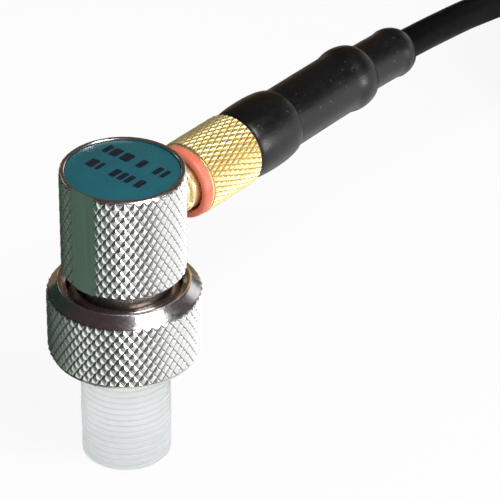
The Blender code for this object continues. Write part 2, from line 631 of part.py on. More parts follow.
def make_wires():
    """Signal wire from the backing to the jack's contact, ground wire from jack to case."""
    contact_x = JACK_ROOT - CONTACT_TAIL
    signal = [Vector((0.0, 0.0, BACKING_TOP + SEAT_GAP)),
              Vector((0.0, 0.0, BACKING_TOP + (JACK_Z - BACKING_TOP) * 0.5)),
              Vector((WIRE_RISE, 0.0, JACK_Z - WIRE_RISE)),
              Vector((contact_x / 2, 0.0, JACK_Z)),
              Vector((contact_x - SEAT_GAP, 0.0, JACK_Z))]
    round_wire("signal_wire", smooth_path(signal, WIRE_POINT_SPACING), WIRE_RADIUS, 1, COPPER)
    side = JACK_NECK_RADIUS - WIRE_RADIUS - WIRE_CLEAR
    reach = CHAMBER_RADIUS - WIRE_RADIUS - WIRE_CLEAR
    foot_x = reach * math.cos(GROUND_WIRE_TURN)
    foot_y = reach * math.sin(GROUND_WIRE_TURN)
    ground = [Vector((JACK_ROOT - SEAT_GAP, side, JACK_Z)),
              Vector((JACK_ROOT - WIRE_RISE, side, JACK_Z - WIRE_CLEAR * 2)),
              Vector((foot_x, foot_y, (JACK_Z + CHAMBER_FLOOR) / 2)),
              Vector((foot_x, foot_y, CHAMBER_FLOOR + SEAT_GAP))]
    round_wire("ground_wire", smooth_path(ground, WIRE_POINT_SPACING), WIRE_RADIUS, 1, COPPER)


# Retaining ring

def make_retaining_ring():
    """Knurled ring with a smooth cone on top and a shoulder that clamps the delay line."""
    ring = knurled_blank("retaining_ring", RING_RADIUS, RING_KNURL_DEPTH, RING_TEETH,
                         RING_KNURL_PITCH,
                         [(RING_RADIUS - RING_EDGE, RING_BOTTOM)],
                         RING_BOTTOM + RING_EDGE, RING_TOP - RING_CONE_HEIGHT,
                         [(RING_LIP_RADIUS, RING_TOP)], STEEL)
    mouth = RING_LIP_RADIUS - RING_LIP_WIDTH
    throat = mouth - RING_INNER_CHAMFER
    bore = turned_solid("ring_bore", [
        (0.0, RING_TOP + CUT_MARGIN), (mouth, RING_TOP + CUT_MARGIN), (mouth, RING_TOP),
        (throat, RING_TOP - RING_INNER_CHAMFER), (throat, RING_TOP - RING_RECESS),
        (RING_BORE, RING_TOP - RING_RECESS - RING_INNER_CHAMFER),
        (RING_BORE, RING_SEAT), (RING_HOLE, RING_SEAT),
        (RING_HOLE, RING_BOTTOM + RING_HOLE_CHAMFER / 2),
        (RING_HOLE + RING_HOLE_CHAMFER, RING_BOTTOM - RING_HOLE_CHAMFER / 2),
        (RING_HOLE + RING_HOLE_CHAMFER, RING_BOTTOM - CUT_MARGIN), (0.0, RING_BOTTOM - CUT_MARGIN)],
        None, FINE, CUTTERS)
    boolean(ring, bore, 'DIFFERENCE')


# Side jack

def make_jack():
    """Gold jack: neck in the case wall, barrel with a bright lip, and a hollow thread."""
    lip = JACK_BARREL_RADIUS - JACK_LIP
    relief = NUT_FRONT + GASKET_SEAT_DEPTH
    body = turned("jack_body", [
        (JACK_THREAD_RADIUS - JACK_THREAD_CHAMFER, JACK_MOUTH),
        (JACK_THREAD_RADIUS, JACK_MOUTH - JACK_THREAD_CHAMFER),
        (JACK_THREAD_RADIUS, relief + JACK_THREAD_RUNOUT), (JACK_BARREL_RADIUS, relief),
        (JACK_BARREL_RADIUS, BARREL_FACE + JACK_LIP), (lip, BARREL_FACE),
        (JACK_NECK_RADIUS, BARREL_FACE), (JACK_NECK_RADIUS, JACK_ROOT),
        (JACK_INSULATOR_RADIUS + SEAT_GAP, JACK_ROOT),
        (JACK_INSULATOR_RADIUS + SEAT_GAP, PLUG_NOSE_TIP - SEAT_GAP),
        (JACK_BORE_RADIUS, PLUG_NOSE_TIP - SEAT_GAP), (JACK_BORE_RADIUS, JACK_MOUTH)],
        GOLD, MEDIUM)
    insulator = turned("jack_insulator", tube_outline(
        JACK_INSULATOR_RADIUS, JACK_CONTACT_RADIUS + SEAT_GAP, JACK_ROOT,
        PLUG_NOSE_TIP - SOCKET_CLEAR), WHITE_INSULATOR, HIDDEN)
    socket_floor = JACK_CONTACT_TIP - PIN_REACH - SOCKET_CLEAR
    contact = turned_solid("jack_contact", [
        (0.0, socket_floor), (PIN_RADIUS + SEAT_GAP, socket_floor),
        (PIN_RADIUS + SEAT_GAP, JACK_CONTACT_TIP), (JACK_CONTACT_RADIUS, JACK_CONTACT_TIP),
        (JACK_CONTACT_RADIUS, JACK_ROOT - CONTACT_TAIL), (0.0, JACK_ROOT - CONTACT_TAIL)],
        GOLD, SMALL)
    for piece in (body, insulator, contact):
        smooth(lay_along_x(piece))


# Coupling nut, gasket and plug

def make_nut():
    """Gold knurled coupling nut, threaded at the front and lipped at the rear."""
    rim = NUT_RADIUS - NUT_CHAMFER
    nut = knurled_blank("coupling_nut", NUT_RADIUS, NUT_KNURL_DEPTH, NUT_TEETH,
                        NUT_KNURL_PITCH, [(rim, NUT_FRONT)], NUT_FRONT + NUT_CHAMFER,
                        NUT_REAR - NUT_CHAMFER, [(rim, NUT_REAR)], GOLD)
    seat = GASKET_SEAT_RADIUS + SEAT_GAP
    bore = turned_solid("nut_bore", [
        (0.0, NUT_REAR + CUT_MARGIN), (PLUG_SHAFT_RADIUS + TURN_GAP, NUT_REAR + CUT_MARGIN),
        (PLUG_SHAFT_RADIUS + TURN_GAP, NUT_LIP_FACE), (NUT_BORE, NUT_LIP_FACE),
        (NUT_BORE, GASKET_REAR + SEAT_GAP), (seat, GASKET_REAR + SEAT_GAP),
        (seat, NUT_FRONT - CUT_MARGIN), (0.0, NUT_FRONT - CUT_MARGIN)], None, MEDIUM, CUTTERS)
    for piece in (nut, bore):
        lay_along_x(piece)
    boolean(nut, bore, 'DIFFERENCE')


def make_gasket():
    """Soft ring with a rounded nose that stands proud of the nut's mouth."""
    front = GASKET_FRONT
    edge = NUT_FRONT - FACE_GAP
    nose = [(GASKET_RADIUS, edge)]
    steps = GASKET_NOSE_STEPS
    round_r = GASKET_RADIUS - GASKET_FRONT_RADIUS
    for i in range(steps + 1):
        angle = math.radians(90.0) * i / steps
        nose.append((GASKET_FRONT_RADIUS + round_r * math.cos(angle),
                     front + GASKET_NOSE_LENGTH * (1.0 - math.sin(angle))))
    outline = [(GASKET_SEAT_RADIUS, GASKET_REAR), (GASKET_SEAT_RADIUS, edge)] + nose + [
        (GASKET_INNER_RADIUS, front + GASKET_INNER_BREAK), (GASKET_INNER_RADIUS, GASKET_REAR)]
    smooth(lay_along_x(turned("nut_gasket", outline, RED_SILICONE, MEDIUM)), 50.0)


def make_plug():
    """Plug body with nose, flange and shaft; insulator, pin and crimp ferrule."""
    body = turned("plug_body", [
        (PLUG_SHAFT_RADIUS, PLUG_SHAFT_END), (PLUG_SHAFT_RADIUS, PLUG_FLANGE_REAR),
        (NUT_BORE - TURN_GAP, PLUG_FLANGE_REAR), (NUT_BORE - TURN_GAP, PLUG_FLANGE_FRONT),
        (PLUG_NOSE_RADIUS, PLUG_FLANGE_FRONT), (PLUG_NOSE_RADIUS, PLUG_NOSE_TIP),
        (PLUG_INSULATOR_RADIUS + SEAT_GAP, PLUG_NOSE_TIP),
        (PLUG_INSULATOR_RADIUS + SEAT_GAP, CABLE_START - SEAT_GAP),
        (CABLE_BORE, CABLE_START - SEAT_GAP), (CABLE_BORE, PLUG_SHAFT_END)], GOLD, HIDDEN)
    insulator = turned("plug_insulator", tube_outline(
        PLUG_INSULATOR_RADIUS, PIN_RADIUS + SEAT_GAP, JACK_CONTACT_TIP + SOCKET_CLEAR,
        CABLE_START - 2 * SEAT_GAP), WHITE_INSULATOR, HIDDEN)
    pin = turned_solid("plug_pin", disc_outline(
        PIN_RADIUS, JACK_CONTACT_TIP - PIN_REACH, CABLE_START - SEAT_GAP), GOLD, SMALL)
    ferrule = turned("crimp_ferrule", [
        (FERRULE_RADIUS, FERRULE_END), (FERRULE_RADIUS, FERRULE_FRONT),
        (PLUG_SHAFT_RADIUS + SEAT_GAP, FERRULE_FRONT),
        (PLUG_SHAFT_RADIUS + SEAT_GAP, PLUG_SHAFT_END + SEAT_GAP),
        (CABLE_BORE, PLUG_SHAFT_END + SEAT_GAP), (CABLE_BORE, FERRULE_END)], GOLD, HIDDEN)
    for piece in (body, insulator, pin, ferrule):
        smooth(lay_along_x(piece))


def rounded_end(radius, tip_radius, end, length, steps=3):
    """Quarter-oval end of a shrunk sleeve, from the end face back to the full radius."""
    points = []
    for i in range(steps + 1):
        angle = math.radians(90.0) * i / steps
        points.append((tip_radius + (radius - tip_radius) * math.sin(angle),
                       end - length * (1.0 - math.cos(angle))))
    return points


def make_boots():
    """Three shrink sleeves one over another, each with a rounded, slightly swollen end."""
    bore = BOOT_MIDDLE_RADIUS + SEAT_GAP
    shrink = BOOT_OUTER_RADIUS - bore
    outer = turned("boot_outer",
                   rounded_end(BOOT_OUTER_RADIUS, bore + BOOT_END_WALL, BOOT_OUTER_END,
                               BOOT_OUTER_ROUND)
                   + [(BOOT_OUTER_RADIUS, BOOT_FRONT + BOOT_SHOULDER),
                      (BOOT_OUTER_RADIUS - BOOT_SHRINK_HIGH * shrink,
                       BOOT_FRONT + BOOT_SHOULDER_LOW),
                      (BOOT_OUTER_RADIUS - BOOT_SHRINK_LOW * shrink, BOOT_FRONT),
                      (bore, BOOT_FRONT + FACE_GAP), (bore, BOOT_OUTER_END)],
                   BLACK_SHRINK, MEDIUM)
    bore = BOOT_INNER_RADIUS + SEAT_GAP
    over_ferrule = FERRULE_RADIUS + SEAT_GAP
    swell = BOOT_MIDDLE_RADIUS + BOOT_MIDDLE_BULGE
    middle = turned("boot_middle",
                    rounded_end(swell, bore + BOOT_END_WALL, BOOT_MIDDLE_END, BOOT_MIDDLE_ROUND)
                    + [(swell, BOOT_MIDDLE_END - BOOT_SWELL_START)]
                    + wall(BOOT_MIDDLE_RADIUS, BOOT_MIDDLE_END - BOOT_SWELL_END,
                           BOOT_FRONT + BOOT_MIDDLE_INSET)
                    + [(over_ferrule, BOOT_FRONT + BOOT_MIDDLE_INSET),
                       (over_ferrule, FERRULE_END + SEAT_GAP)]
                    + wall(bore, FERRULE_END + SEAT_GAP, BOOT_MIDDLE_END),
                    BLACK_SHRINK, MEDIUM)
    start = FERRULE_END + 2 * SEAT_GAP
    swell = BOOT_INNER_RADIUS + BOOT_INNER_BULGE
    inner = turned("boot_inner",
                   rounded_end(swell, CABLE_BORE + BOOT_END_WALL, BOOT_INNER_END, BOOT_INNER_ROUND)
                   + wall(BOOT_INNER_RADIUS, BOOT_INNER_END - BOOT_INNER_SWELL_END, start)
                   + wall(CABLE_BORE, start, BOOT_INNER_END),
                   BLACK_SHRINK, COARSE)
    for piece in (outer, middle, inner):
        lay_along_x(piece)
    bpy.context.view_layer.update()
    for piece in (middle, inner):
        droop(piece)
    for piece in (outer, middle, inner):
        smooth(piece)


# Lead, hank and tie

def lead_route():
    """The lead's line from inside the plug, straight, drooping, then sinking onto the hank."""
    points = [Vector((CABLE_START, 0.0, JACK_Z))]
    points += [Vector((DROOP_START + DROOP_STATION * i, 0.0,
                       JACK_Z - drop(DROOP_START + DROOP_STATION * i)))
               for i in range(DROOP_STATIONS + 3)]
    rest = Vector((0.0, 0.0, LEAD_REST_Z))
    route = [Vector(point) * MM + rest for point in FREE_ROUTE_MM]
    falling = smooth_path(points[-1:] + route, 2 * CABLE_DIAMETER)
    return points + falling[1:]


def run_side(along):
    """Half the width between the hank's runs at a distance from the middle, and its slope."""
    span = HANK_HALF_RUN - HANK_WAIST_HALF_LENGTH
    share = min(max((along - HANK_WAIST_HALF_LENGTH) / span, 0.0), 1.0)
    widening = HANK_LOOP_RADIUS - HANK_WAIST
    return (HANK_WAIST + widening * share * share * (3 - 2 * share),
            widening * 6 * share * (1 - share) / span)


def end_loop(offset, start):
    """One end of the hank's outline, offset from its mid line, from run to run."""
    side = []
    for i in range(HANK_STATIONS):
        along = start + (HANK_HALF_RUN - start) * i / HANK_STATIONS
        half, slope = run_side(along)
        length = math.sqrt(1 + slope * slope)
        side.append((along - offset * slope / length, half + offset / length))
    loop = []
    for i in range(HANK_LOOP_STATIONS + 1):
        angle = math.pi / 2 - math.pi * i / HANK_LOOP_STATIONS
        loop.append((HANK_HALF_RUN + (HANK_LOOP_RADIUS + offset) * math.cos(angle),
                     (HANK_LOOP_RADIUS + offset) * math.sin(angle)))
    return side + loop + [(x, -y) for x, y in reversed(side)]


def extruded(name, outline, low, high, mat, collection):
    """A closed outline in the XY plane, extruded from low to high."""
    bm = bmesh.new()
    base = bm.faces.new([bm.verts.new((x, y, low)) for x, y in outline])
    result = bmesh.ops.extrude_face_region(bm, geom=[base], use_keep_orig=True)
    top = [item for item in result["geom"] if isinstance(item, bmesh.types.BMVert)]
    bmesh.ops.translate(bm, verts=top, vec=(0.0, 0.0, high - low))
    bmesh.ops.recalc_face_normals(bm, faces=bm.faces)
    mesh = bpy.data.meshes.new(name)
    bm.to_mesh(mesh)
    bm.free()
    return add_object(name, mesh, mat, collection)


def make_hank():
    """The folded turns as one solid with an opening inside each end loop."""
    half = end_loop(HANK_REACH, HANK_WAIST_HALF_LENGTH)
    hank = extruded("cable_coil", half + [(-x, -y) for x, y in half], HANK_FLOOR, HANK_TOP,
                    BLACK_JACKET, PARTS)
    hank.location.x = HANK_CENTRE_X
    opening = HANK_WAIST_HALF_LENGTH
    while run_side(opening)[0] - HANK_REACH < HANK_EYE_HALF_WIDTH:
        opening += HANK_EYE_HALF_WIDTH
    eye = end_loop(-HANK_REACH, opening)
    for end in (-1, 1):
        cutter = extruded("hank_eye_%d" % end, [(end * x, y) for x, y in eye],
                          HANK_FLOOR - CORD_GAP, HANK_TOP + CORD_GAP, None, CUTTERS)
        cutter.location.x = HANK_CENTRE_X
        boolean(hank, cutter, 'DIFFERENCE')
    smooth(hank)


def make_lead():
    """The lead's free stretch up to the hank, and the short tail from it to the far plug."""
    end = HANK_START_X + CABLE_RADIUS
    path = [point for point in lead_route() if point.x < end]
    round_wire("cable", path, CABLE_RADIUS, 2, BLACK_JACKET)

    reach = HANK_LOOP_RADIUS + HANK_REACH + CORD_GAP
    side = abs(TAIL_START_Y) - CABLE_RADIUS
    leave = math.sqrt(reach ** 2 - side ** 2)
    route = tail_route()
    tail = [point for point in route if point.x > TAIL_START_X + leave]
    round_wire("cable_tail", tail, CABLE_RADIUS, 2, BLACK_JACKET)


def tail_route():
    """The tail's line: on from the hank's lowest outer run, then across and up to the plug."""
    start = Vector((TAIL_START_X, TAIL_START_Y, TAIL_START_Z))
    turn = start + Vector((TAIL_STRAIGHT, 0.0, 0.0))
    plug = Vector((FAR_START_X, FAR_Y, FAR_Z))
    return smooth_path([start, (start + turn) / 2, turn + TAIL_BEND_START, (turn + plug) / 2,
                        plug - TAIL_BEND_END, plug + Vector((TAIL_BEND_END.x, 0.0, 0.0)),
                        Vector((FAR_BOOT_END, FAR_Y, FAR_Z))], TAIL_POINT_SPACING)


def rounded_block(name, size, corner, mat, collection):
    """A block whose four edges along X are rounded."""
    bm = bmesh.new()
    bmesh.ops.create_cube(bm, size=1.0)
    for vert in bm.verts:
        vert.co = Vector([vert.co[axis] * size[axis] for axis in range(3)])
    along = [edge for edge in bm.edges
             if abs(edge.verts[0].co.x - edge.verts[1].co.x) > size[0] / 2]
    bmesh.ops.bevel(bm, geom=along, offset=corner, segments=3, profile=0.5, affect='EDGES')
    mesh = bpy.data.meshes.new(name)
    bm.to_mesh(mesh)
    bm.free()
    return add_object(name, mesh, mat, collection)


def make_tie():
    """Fabric strap closed round the hank's waist."""
    wide = 2 * (HANK_WAIST + HANK_REACH + CORD_GAP)
    low = HANK_FLOOR - SEAT_GAP
    high = HANK_TOP + SEAT_GAP
    corner = CORD_GAP
    both = 2 * TIE_THICKNESS
    tie = rounded_block("coil_tie", (TIE_WIDTH, wide + both, high - low + both),
                        corner + TIE_THICKNESS, TIE_FABRIC, PARTS)
    inside = rounded_block("tie_inside", (TIE_WIDTH * 2, wide, high - low), corner,
                           None, CUTTERS)
    for piece in (tie, inside):
        piece.location = (HANK_CENTRE_X, 0.0, (low + high) / 2)
    boolean(tie, inside, 'DIFFERENCE')


# Far plug

def far_piece(obj):
    """Move a piece made about Z onto the far plug's axis."""
    lay_along_x(obj)
    obj.location = (0.0, FAR_Y, FAR_Z)
    return obj


def slot_cutter(name, turn):
    """A round cutter along a bayonet slot: in from the front, round, and to its detent."""
    radius = (FAR_NOSE_RADIUS + FAR_SLEEVE_BORE) / 2
    mouth = FAR_SLEEVE_END + FAR_SLOT_RADIUS
    straight = FAR_SLEEVE_END - FAR_SLOT_STRAIGHT
    steps = FAR_SLOT_STEPS
    path = [Vector((radius * math.cos(turn), radius * math.sin(turn), mouth)),
            Vector((radius * math.cos(turn), radius * math.sin(turn), straight))]
    for i in range(1, steps + 1):
        angle = turn + math.radians(FAR_SLOT_TURN) * i / steps
        depth = straight - (FAR_SLOT_RISE - FAR_SLOT_STRAIGHT) * i / steps
        path.append(Vector((radius * math.cos(angle), radius * math.sin(angle), depth)))
    wire = round_wire(name + "_line", path, FAR_SLOT_RADIUS, 1, STEEL)
    graph = bpy.context.evaluated_depsgraph_get()
    mesh = bpy.data.meshes.new_from_object(wire.evaluated_get(graph))
    bpy.data.objects.remove(wire, do_unlink=True)
    bm = bmesh.new()
    bm.from_mesh(mesh)
    bmesh.ops.remove_doubles(bm, verts=bm.verts, dist=MERGE)
    bmesh.ops.recalc_face_normals(bm, faces=bm.faces)
    bm.to_mesh(mesh)
    bm.free()
    mesh.materials.clear()
    return add_object(name, mesh, None, CUTTERS)


def make_far_sleeve():
    """Bayonet sleeve with a raised grip, two ramped slots and a rear lip."""
    grip_end = FAR_SLEEVE_END - FAR_NOSE_LENGTH
    chamfer = FAR_GRIP_CHAMFER
    lip_end = FAR_SLEEVE_START + FAR_LIP_LENGTH
    sleeve = turned("bayonet_sleeve", [
        (FAR_NOSE_RADIUS - chamfer, FAR_SLEEVE_END), (FAR_NOSE_RADIUS, FAR_SLEEVE_END - chamfer),
        (FAR_NOSE_RADIUS, grip_end), (FAR_GRIP_RADIUS - chamfer, grip_end),
        (FAR_GRIP_RADIUS, grip_end - chamfer), (FAR_GRIP_RADIUS, FAR_SLEEVE_START + chamfer),
        (FAR_GRIP_RADIUS - chamfer, FAR_SLEEVE_START),
        (FAR_SHAFT_RADIUS + TURN_GAP, FAR_SLEEVE_START),
        (FAR_SHAFT_RADIUS + TURN_GAP, lip_end), (FAR_SLEEVE_BORE, lip_end),
        (FAR_SLEEVE_BORE, FAR_SLEEVE_END)], NICKEL, MEDIUM)
    far_piece(sleeve)
    for side in (0, 1):
        cutter = far_piece(slot_cutter("slot_cutter_%d" % side, math.pi * side))
        boolean(sleeve, cutter, 'DIFFERENCE')


def make_far_plug():
    """Body, insulator, pin, gasket, ferrule and boot of the far plug."""
    make_far_sleeve()
    insulator_rear = FAR_COLLAR_END
    insulator_front = FAR_FLANGE_END + FAR_INSULATOR_PROUD
    body = turned("bayonet_body", [
        (FAR_TUBE_RADIUS, FAR_TUBE_END), (FAR_TUBE_RADIUS, FAR_FLANGE_END),
        (FAR_FLANGE_RADIUS, FAR_FLANGE_END), (FAR_FLANGE_RADIUS, FAR_FLANGE_START),
        (FAR_SHAFT_RADIUS, FAR_FLANGE_START), (FAR_SHAFT_RADIUS, FAR_COLLAR_END),
        (FAR_COLLAR_RADIUS, FAR_COLLAR_END), (FAR_COLLAR_RADIUS, FAR_COLLAR_START + FAR_EDGE),
        (FAR_COLLAR_RADIUS - FAR_EDGE, FAR_COLLAR_START), (CABLE_BORE, FAR_COLLAR_START),
        (CABLE_BORE, insulator_rear), (FAR_TUBE_BORE, insulator_rear),
        (FAR_TUBE_BORE, FAR_TUBE_END)], NICKEL, HIDDEN)
    insulator = turned("bayonet_insulator", tube_outline(
        FAR_TUBE_BORE - SEAT_GAP, FAR_PIN_RADIUS + SEAT_GAP, insulator_rear + FACE_GAP,
        insulator_front), WHITE_INSULATOR, HIDDEN)
    pin_tip = FAR_TUBE_END - FAR_PIN_SETBACK
    pin = turned_solid("bayonet_pin", [
        (0.0, pin_tip), (FAR_PIN_RADIUS * 0.4, pin_tip),
        (FAR_PIN_RADIUS, pin_tip - FAR_PIN_RADIUS * 1.6), (FAR_PIN_RADIUS, insulator_rear),
        (0.0, insulator_rear)], GOLD, SMALL)
    gasket = turned("bayonet_gasket", tube_outline(
        FAR_FLANGE_RADIUS, FAR_TUBE_RADIUS + SEAT_GAP, FAR_FLANGE_END + FACE_GAP,
        FAR_FLANGE_END + FACE_GAP + FAR_GASKET_THICKNESS), RED_SILICONE, HIDDEN)
    ferrule = turned("bayonet_ferrule", tube_outline(
        FAR_FERRULE_RADIUS, CABLE_BORE, FAR_FERRULE_START, FAR_COLLAR_START - FACE_GAP),
        NICKEL, HIDDEN)
    under = FAR_FERRULE_RADIUS + SEAT_GAP
    boot = turned("bayonet_boot", [
        (FAR_BOOT_FRONT_RADIUS - FAR_EDGE, FAR_BOOT_END),
        (FAR_BOOT_FRONT_RADIUS, FAR_BOOT_END - FAR_EDGE),
        (FAR_BOOT_FRONT_RADIUS, FAR_FERRULE_START + FAR_BOOT_TAPER),
        (FAR_BOOT_REAR_RADIUS + FAR_EDGE, FAR_FERRULE_START - FAR_BOOT_TAPER),
        (FAR_BOOT_REAR_RADIUS, FAR_START_X), (CABLE_BORE, FAR_START_X),
        (CABLE_BORE, FAR_FERRULE_START - SEAT_GAP), (under, FAR_FERRULE_START - SEAT_GAP),
        (under, FAR_BOOT_END)], BLACK_SHRINK, COARSE)
    for piece in (body, insulator, pin, gasket, ferrule, boot):
        smooth(far_piece(piece))


make_delay_line()
make_case()
make_label_disc()
make_acoustic_stack()
make_wires()
make_retaining_ring()
make_jack()
make_nut()
make_gasket()
make_plug()
make_boots()
make_lead()
make_hank()
make_tie()
make_far_plug()
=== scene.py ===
import math
import bpy
import bmesh
from mathutils import Matrix, Vector


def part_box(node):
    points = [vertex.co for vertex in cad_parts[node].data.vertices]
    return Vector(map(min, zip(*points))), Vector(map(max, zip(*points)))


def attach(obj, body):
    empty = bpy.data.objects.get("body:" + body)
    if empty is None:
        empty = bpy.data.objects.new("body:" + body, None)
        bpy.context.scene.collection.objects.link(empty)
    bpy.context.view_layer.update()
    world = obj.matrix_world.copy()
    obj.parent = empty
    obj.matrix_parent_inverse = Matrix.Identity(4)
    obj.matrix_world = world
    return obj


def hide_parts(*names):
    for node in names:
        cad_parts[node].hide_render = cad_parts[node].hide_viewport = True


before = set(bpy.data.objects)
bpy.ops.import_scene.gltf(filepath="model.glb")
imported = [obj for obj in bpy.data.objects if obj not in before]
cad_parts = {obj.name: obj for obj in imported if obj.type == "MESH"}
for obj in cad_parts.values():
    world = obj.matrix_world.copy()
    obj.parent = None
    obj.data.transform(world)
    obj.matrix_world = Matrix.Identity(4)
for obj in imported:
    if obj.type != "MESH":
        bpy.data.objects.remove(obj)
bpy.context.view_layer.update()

scene = bpy.context.scene
scene.view_settings.view_transform = 'Standard'
MM = 0.001


# Camera. It looks down on the label at about 33 degrees from the side opposite the jack, and
# stands 240 mm off, so the far end of the plug runs out of the frame at the top right.

LOOK_AZIMUTH = math.radians(-51.537)
LOOK_HEIGHT = math.radians(33.254)
LOOK_ROLL = math.radians(0.743)
LOOK_DISTANCE = 240.0 * MM
VIEW_MIDDLE_RIGHT = 10.272 * MM
VIEW_MIDDLE_UP = 16.143 * MM
FOCAL_LENGTH_MM = 207.11

right = Vector((math.cos(LOOK_AZIMUTH), math.sin(LOOK_AZIMUTH), 0.0))
back = Vector((math.sin(LOOK_AZIMUTH) * math.cos(LOOK_HEIGHT),
               -math.cos(LOOK_AZIMUTH) * math.cos(LOOK_HEIGHT), math.sin(LOOK_HEIGHT)))
up = back.cross(right)
rolled_right = right * math.cos(LOOK_ROLL) + up * math.sin(LOOK_ROLL)
rolled_up = up * math.cos(LOOK_ROLL) - right * math.sin(LOOK_ROLL)
eye = rolled_right * VIEW_MIDDLE_RIGHT + rolled_up * VIEW_MIDDLE_UP + back * LOOK_DISTANCE

camera_data = bpy.data.cameras.new("camera")
camera_data.lens = FOCAL_LENGTH_MM
camera_data.sensor_width = 36.0
camera_data.clip_start = 0.01
camera_data.clip_end = 20.0
camera = bpy.data.objects.new("camera", camera_data)
scene.collection.objects.link(camera)
turn = Matrix((rolled_right, rolled_up, back)).transposed().to_4x4()
camera.matrix_world = Matrix.Translation(eye) @ turn
scene.camera = camera


# Studio. A white floor and world, a soft lamp above the camera's right and a weaker one low on
# the right. Dark tinted cards stand round the piece, above it and on the floor behind it, for
# the bright metal to reflect.

FLOOR_SIZE = 6.0
FLOOR_Z = -0.05 * MM
FLOOR_GLOW = 0.90
DAYLIGHT = 0.42
LAMP_AIM = Vector((0.008, 0.0, 0.018))
HEAD_MIDDLE = Vector((0.0, 0.0, 0.02))
UPWARD = (0.0, 0.0, 1.0)


def shader_tree(name):
    """A new node material and its Principled shader."""
    mat = bpy.data.materials.new(name)
    mat.use_nodes = True
    return mat, mat.node_tree, mat.node_tree.nodes["Principled BSDF"]


def seen_directly(tree):
    """1 for rays from the camera and for rays that metal or glass sends on."""
    path = tree.nodes.new("ShaderNodeLightPath")
    glossy = tree.nodes.new("ShaderNodeMath")
    glossy.operation = 'MAXIMUM'
    tree.links.new(path.outputs["Is Camera Ray"], glossy.inputs[0])
    tree.links.new(path.outputs["Is Glossy Ray"], glossy.inputs[1])
    either = tree.nodes.new("ShaderNodeMath")
    either.operation = 'MAXIMUM'
    tree.links.new(glossy.outputs[0], either.inputs[0])
    tree.links.new(path.outputs["Is Transmission Ray"], either.inputs[1])
    return either.outputs[0]


floor_paint, tree, shader = shader_tree("studio_floor")
shader.inputs["Base Color"].default_value = (0.86, 0.86, 0.86, 1.0)
shader.inputs["Roughness"].default_value = 0.9
shader.inputs["Specular IOR Level"].default_value = 0.0
glow = tree.nodes.new("ShaderNodeEmission")
glow.inputs["Color"].default_value = (1.0, 1.0, 1.0, 1.0)
share = tree.nodes.new("ShaderNodeMath")
share.operation = 'MULTIPLY'
share.inputs[1].default_value = FLOOR_GLOW
tree.links.new(seen_directly(tree), share.inputs[0])
blend = tree.nodes.new("ShaderNodeMixShader")
tree.links.new(share.outputs[0], blend.inputs[0])
tree.links.new(shader.outputs[0], blend.inputs[1])
tree.links.new(glow.outputs[0], blend.inputs[2])
tree.links.new(blend.outputs[0], tree.nodes["Material Output"].inputs["Surface"])

bpy.ops.mesh.primitive_plane_add(size=FLOOR_SIZE, location=(0.0, 0.0, FLOOR_Z))
floor = bpy.context.object
floor.name = "studio_floor"
floor.data.materials.append(floor_paint)

world = bpy.data.worlds.new("studio_world")
scene.world = world
world.use_nodes = True
tree = world.node_tree
tree.nodes["Background"].inputs["Color"].default_value = (1.0, 1.0, 1.0, 1.0)
strength = tree.nodes.new("ShaderNodeMapRange")
strength.inputs["To Min"].default_value = DAYLIGHT
strength.inputs["To Max"].default_value = 1.0
tree.links.new(seen_directly(tree), strength.inputs["Value"])
tree.links.new(strength.outputs[0], tree.nodes["Background"].inputs["Strength"])


def lamp(name, place, size, power):
    """A square soft lamp that faces the transducer's head."""
    data = bpy.data.lights.new(name, 'AREA')
    data.shape = 'SQUARE'
    data.size = size
    data.energy = power
    obj = bpy.data.objects.new(name, data)
    scene.collection.objects.link(obj)
    obj.location = place
    obj.rotation_euler = (LAMP_AIM - place).to_track_quat('-Z', 'Y').to_euler()


lamp("key_lamp", right * 0.165 + back * 0.266 + up * 0.176, 0.15, 0.8)
lamp("side_lamp", right * 0.34 + back * 0.12 - up * 0.02, 0.12, 0.52)


def card(name, tint, place, width, height, heading=None, thin_axis=None, thin_share=0.5):
    """A tinted card that only reflections show; it faces the head, unless it has a heading.

    With a thin_axis it thins out towards its low side, over that share of its own X or Y.
    """
    place = Vector(place)
    heading = Vector(heading) if heading else HEAD_MIDDLE - place
    paint, tree, shader = shader_tree(name)
    shader.inputs["Base Color"].default_value = (*tint, 1.0)
    shader.inputs["Roughness"].default_value = 0.9
    shader.inputs["Specular IOR Level"].default_value = 0.0
    if thin_axis:
        coords = tree.nodes.new("ShaderNodeTexCoord")
        axes = tree.nodes.new("ShaderNodeSeparateXYZ")
        cover = tree.nodes.new("ShaderNodeMapRange")
        cover.inputs["From Min"].default_value = -0.5
        cover.inputs["From Max"].default_value = -0.5 + thin_share
        tree.links.new(coords.outputs["Object"], axes.inputs[0])
        tree.links.new(axes.outputs[thin_axis], cover.inputs["Value"])
        tree.links.new(cover.outputs[0], shader.inputs["Alpha"])
    bpy.ops.mesh.primitive_plane_add(size=1.0)
    obj = bpy.context.object
    obj.name = name
    obj.scale = (width, height, 1.0)
    obj.location = place
    obj.rotation_euler = heading.to_track_quat('Z', 'Y').to_euler()
    obj.data.materials.append(paint)
    obj.visible_camera = False
    obj.visible_diffuse = False
    obj.visible_transmission = False
    obj.visible_shadow = False


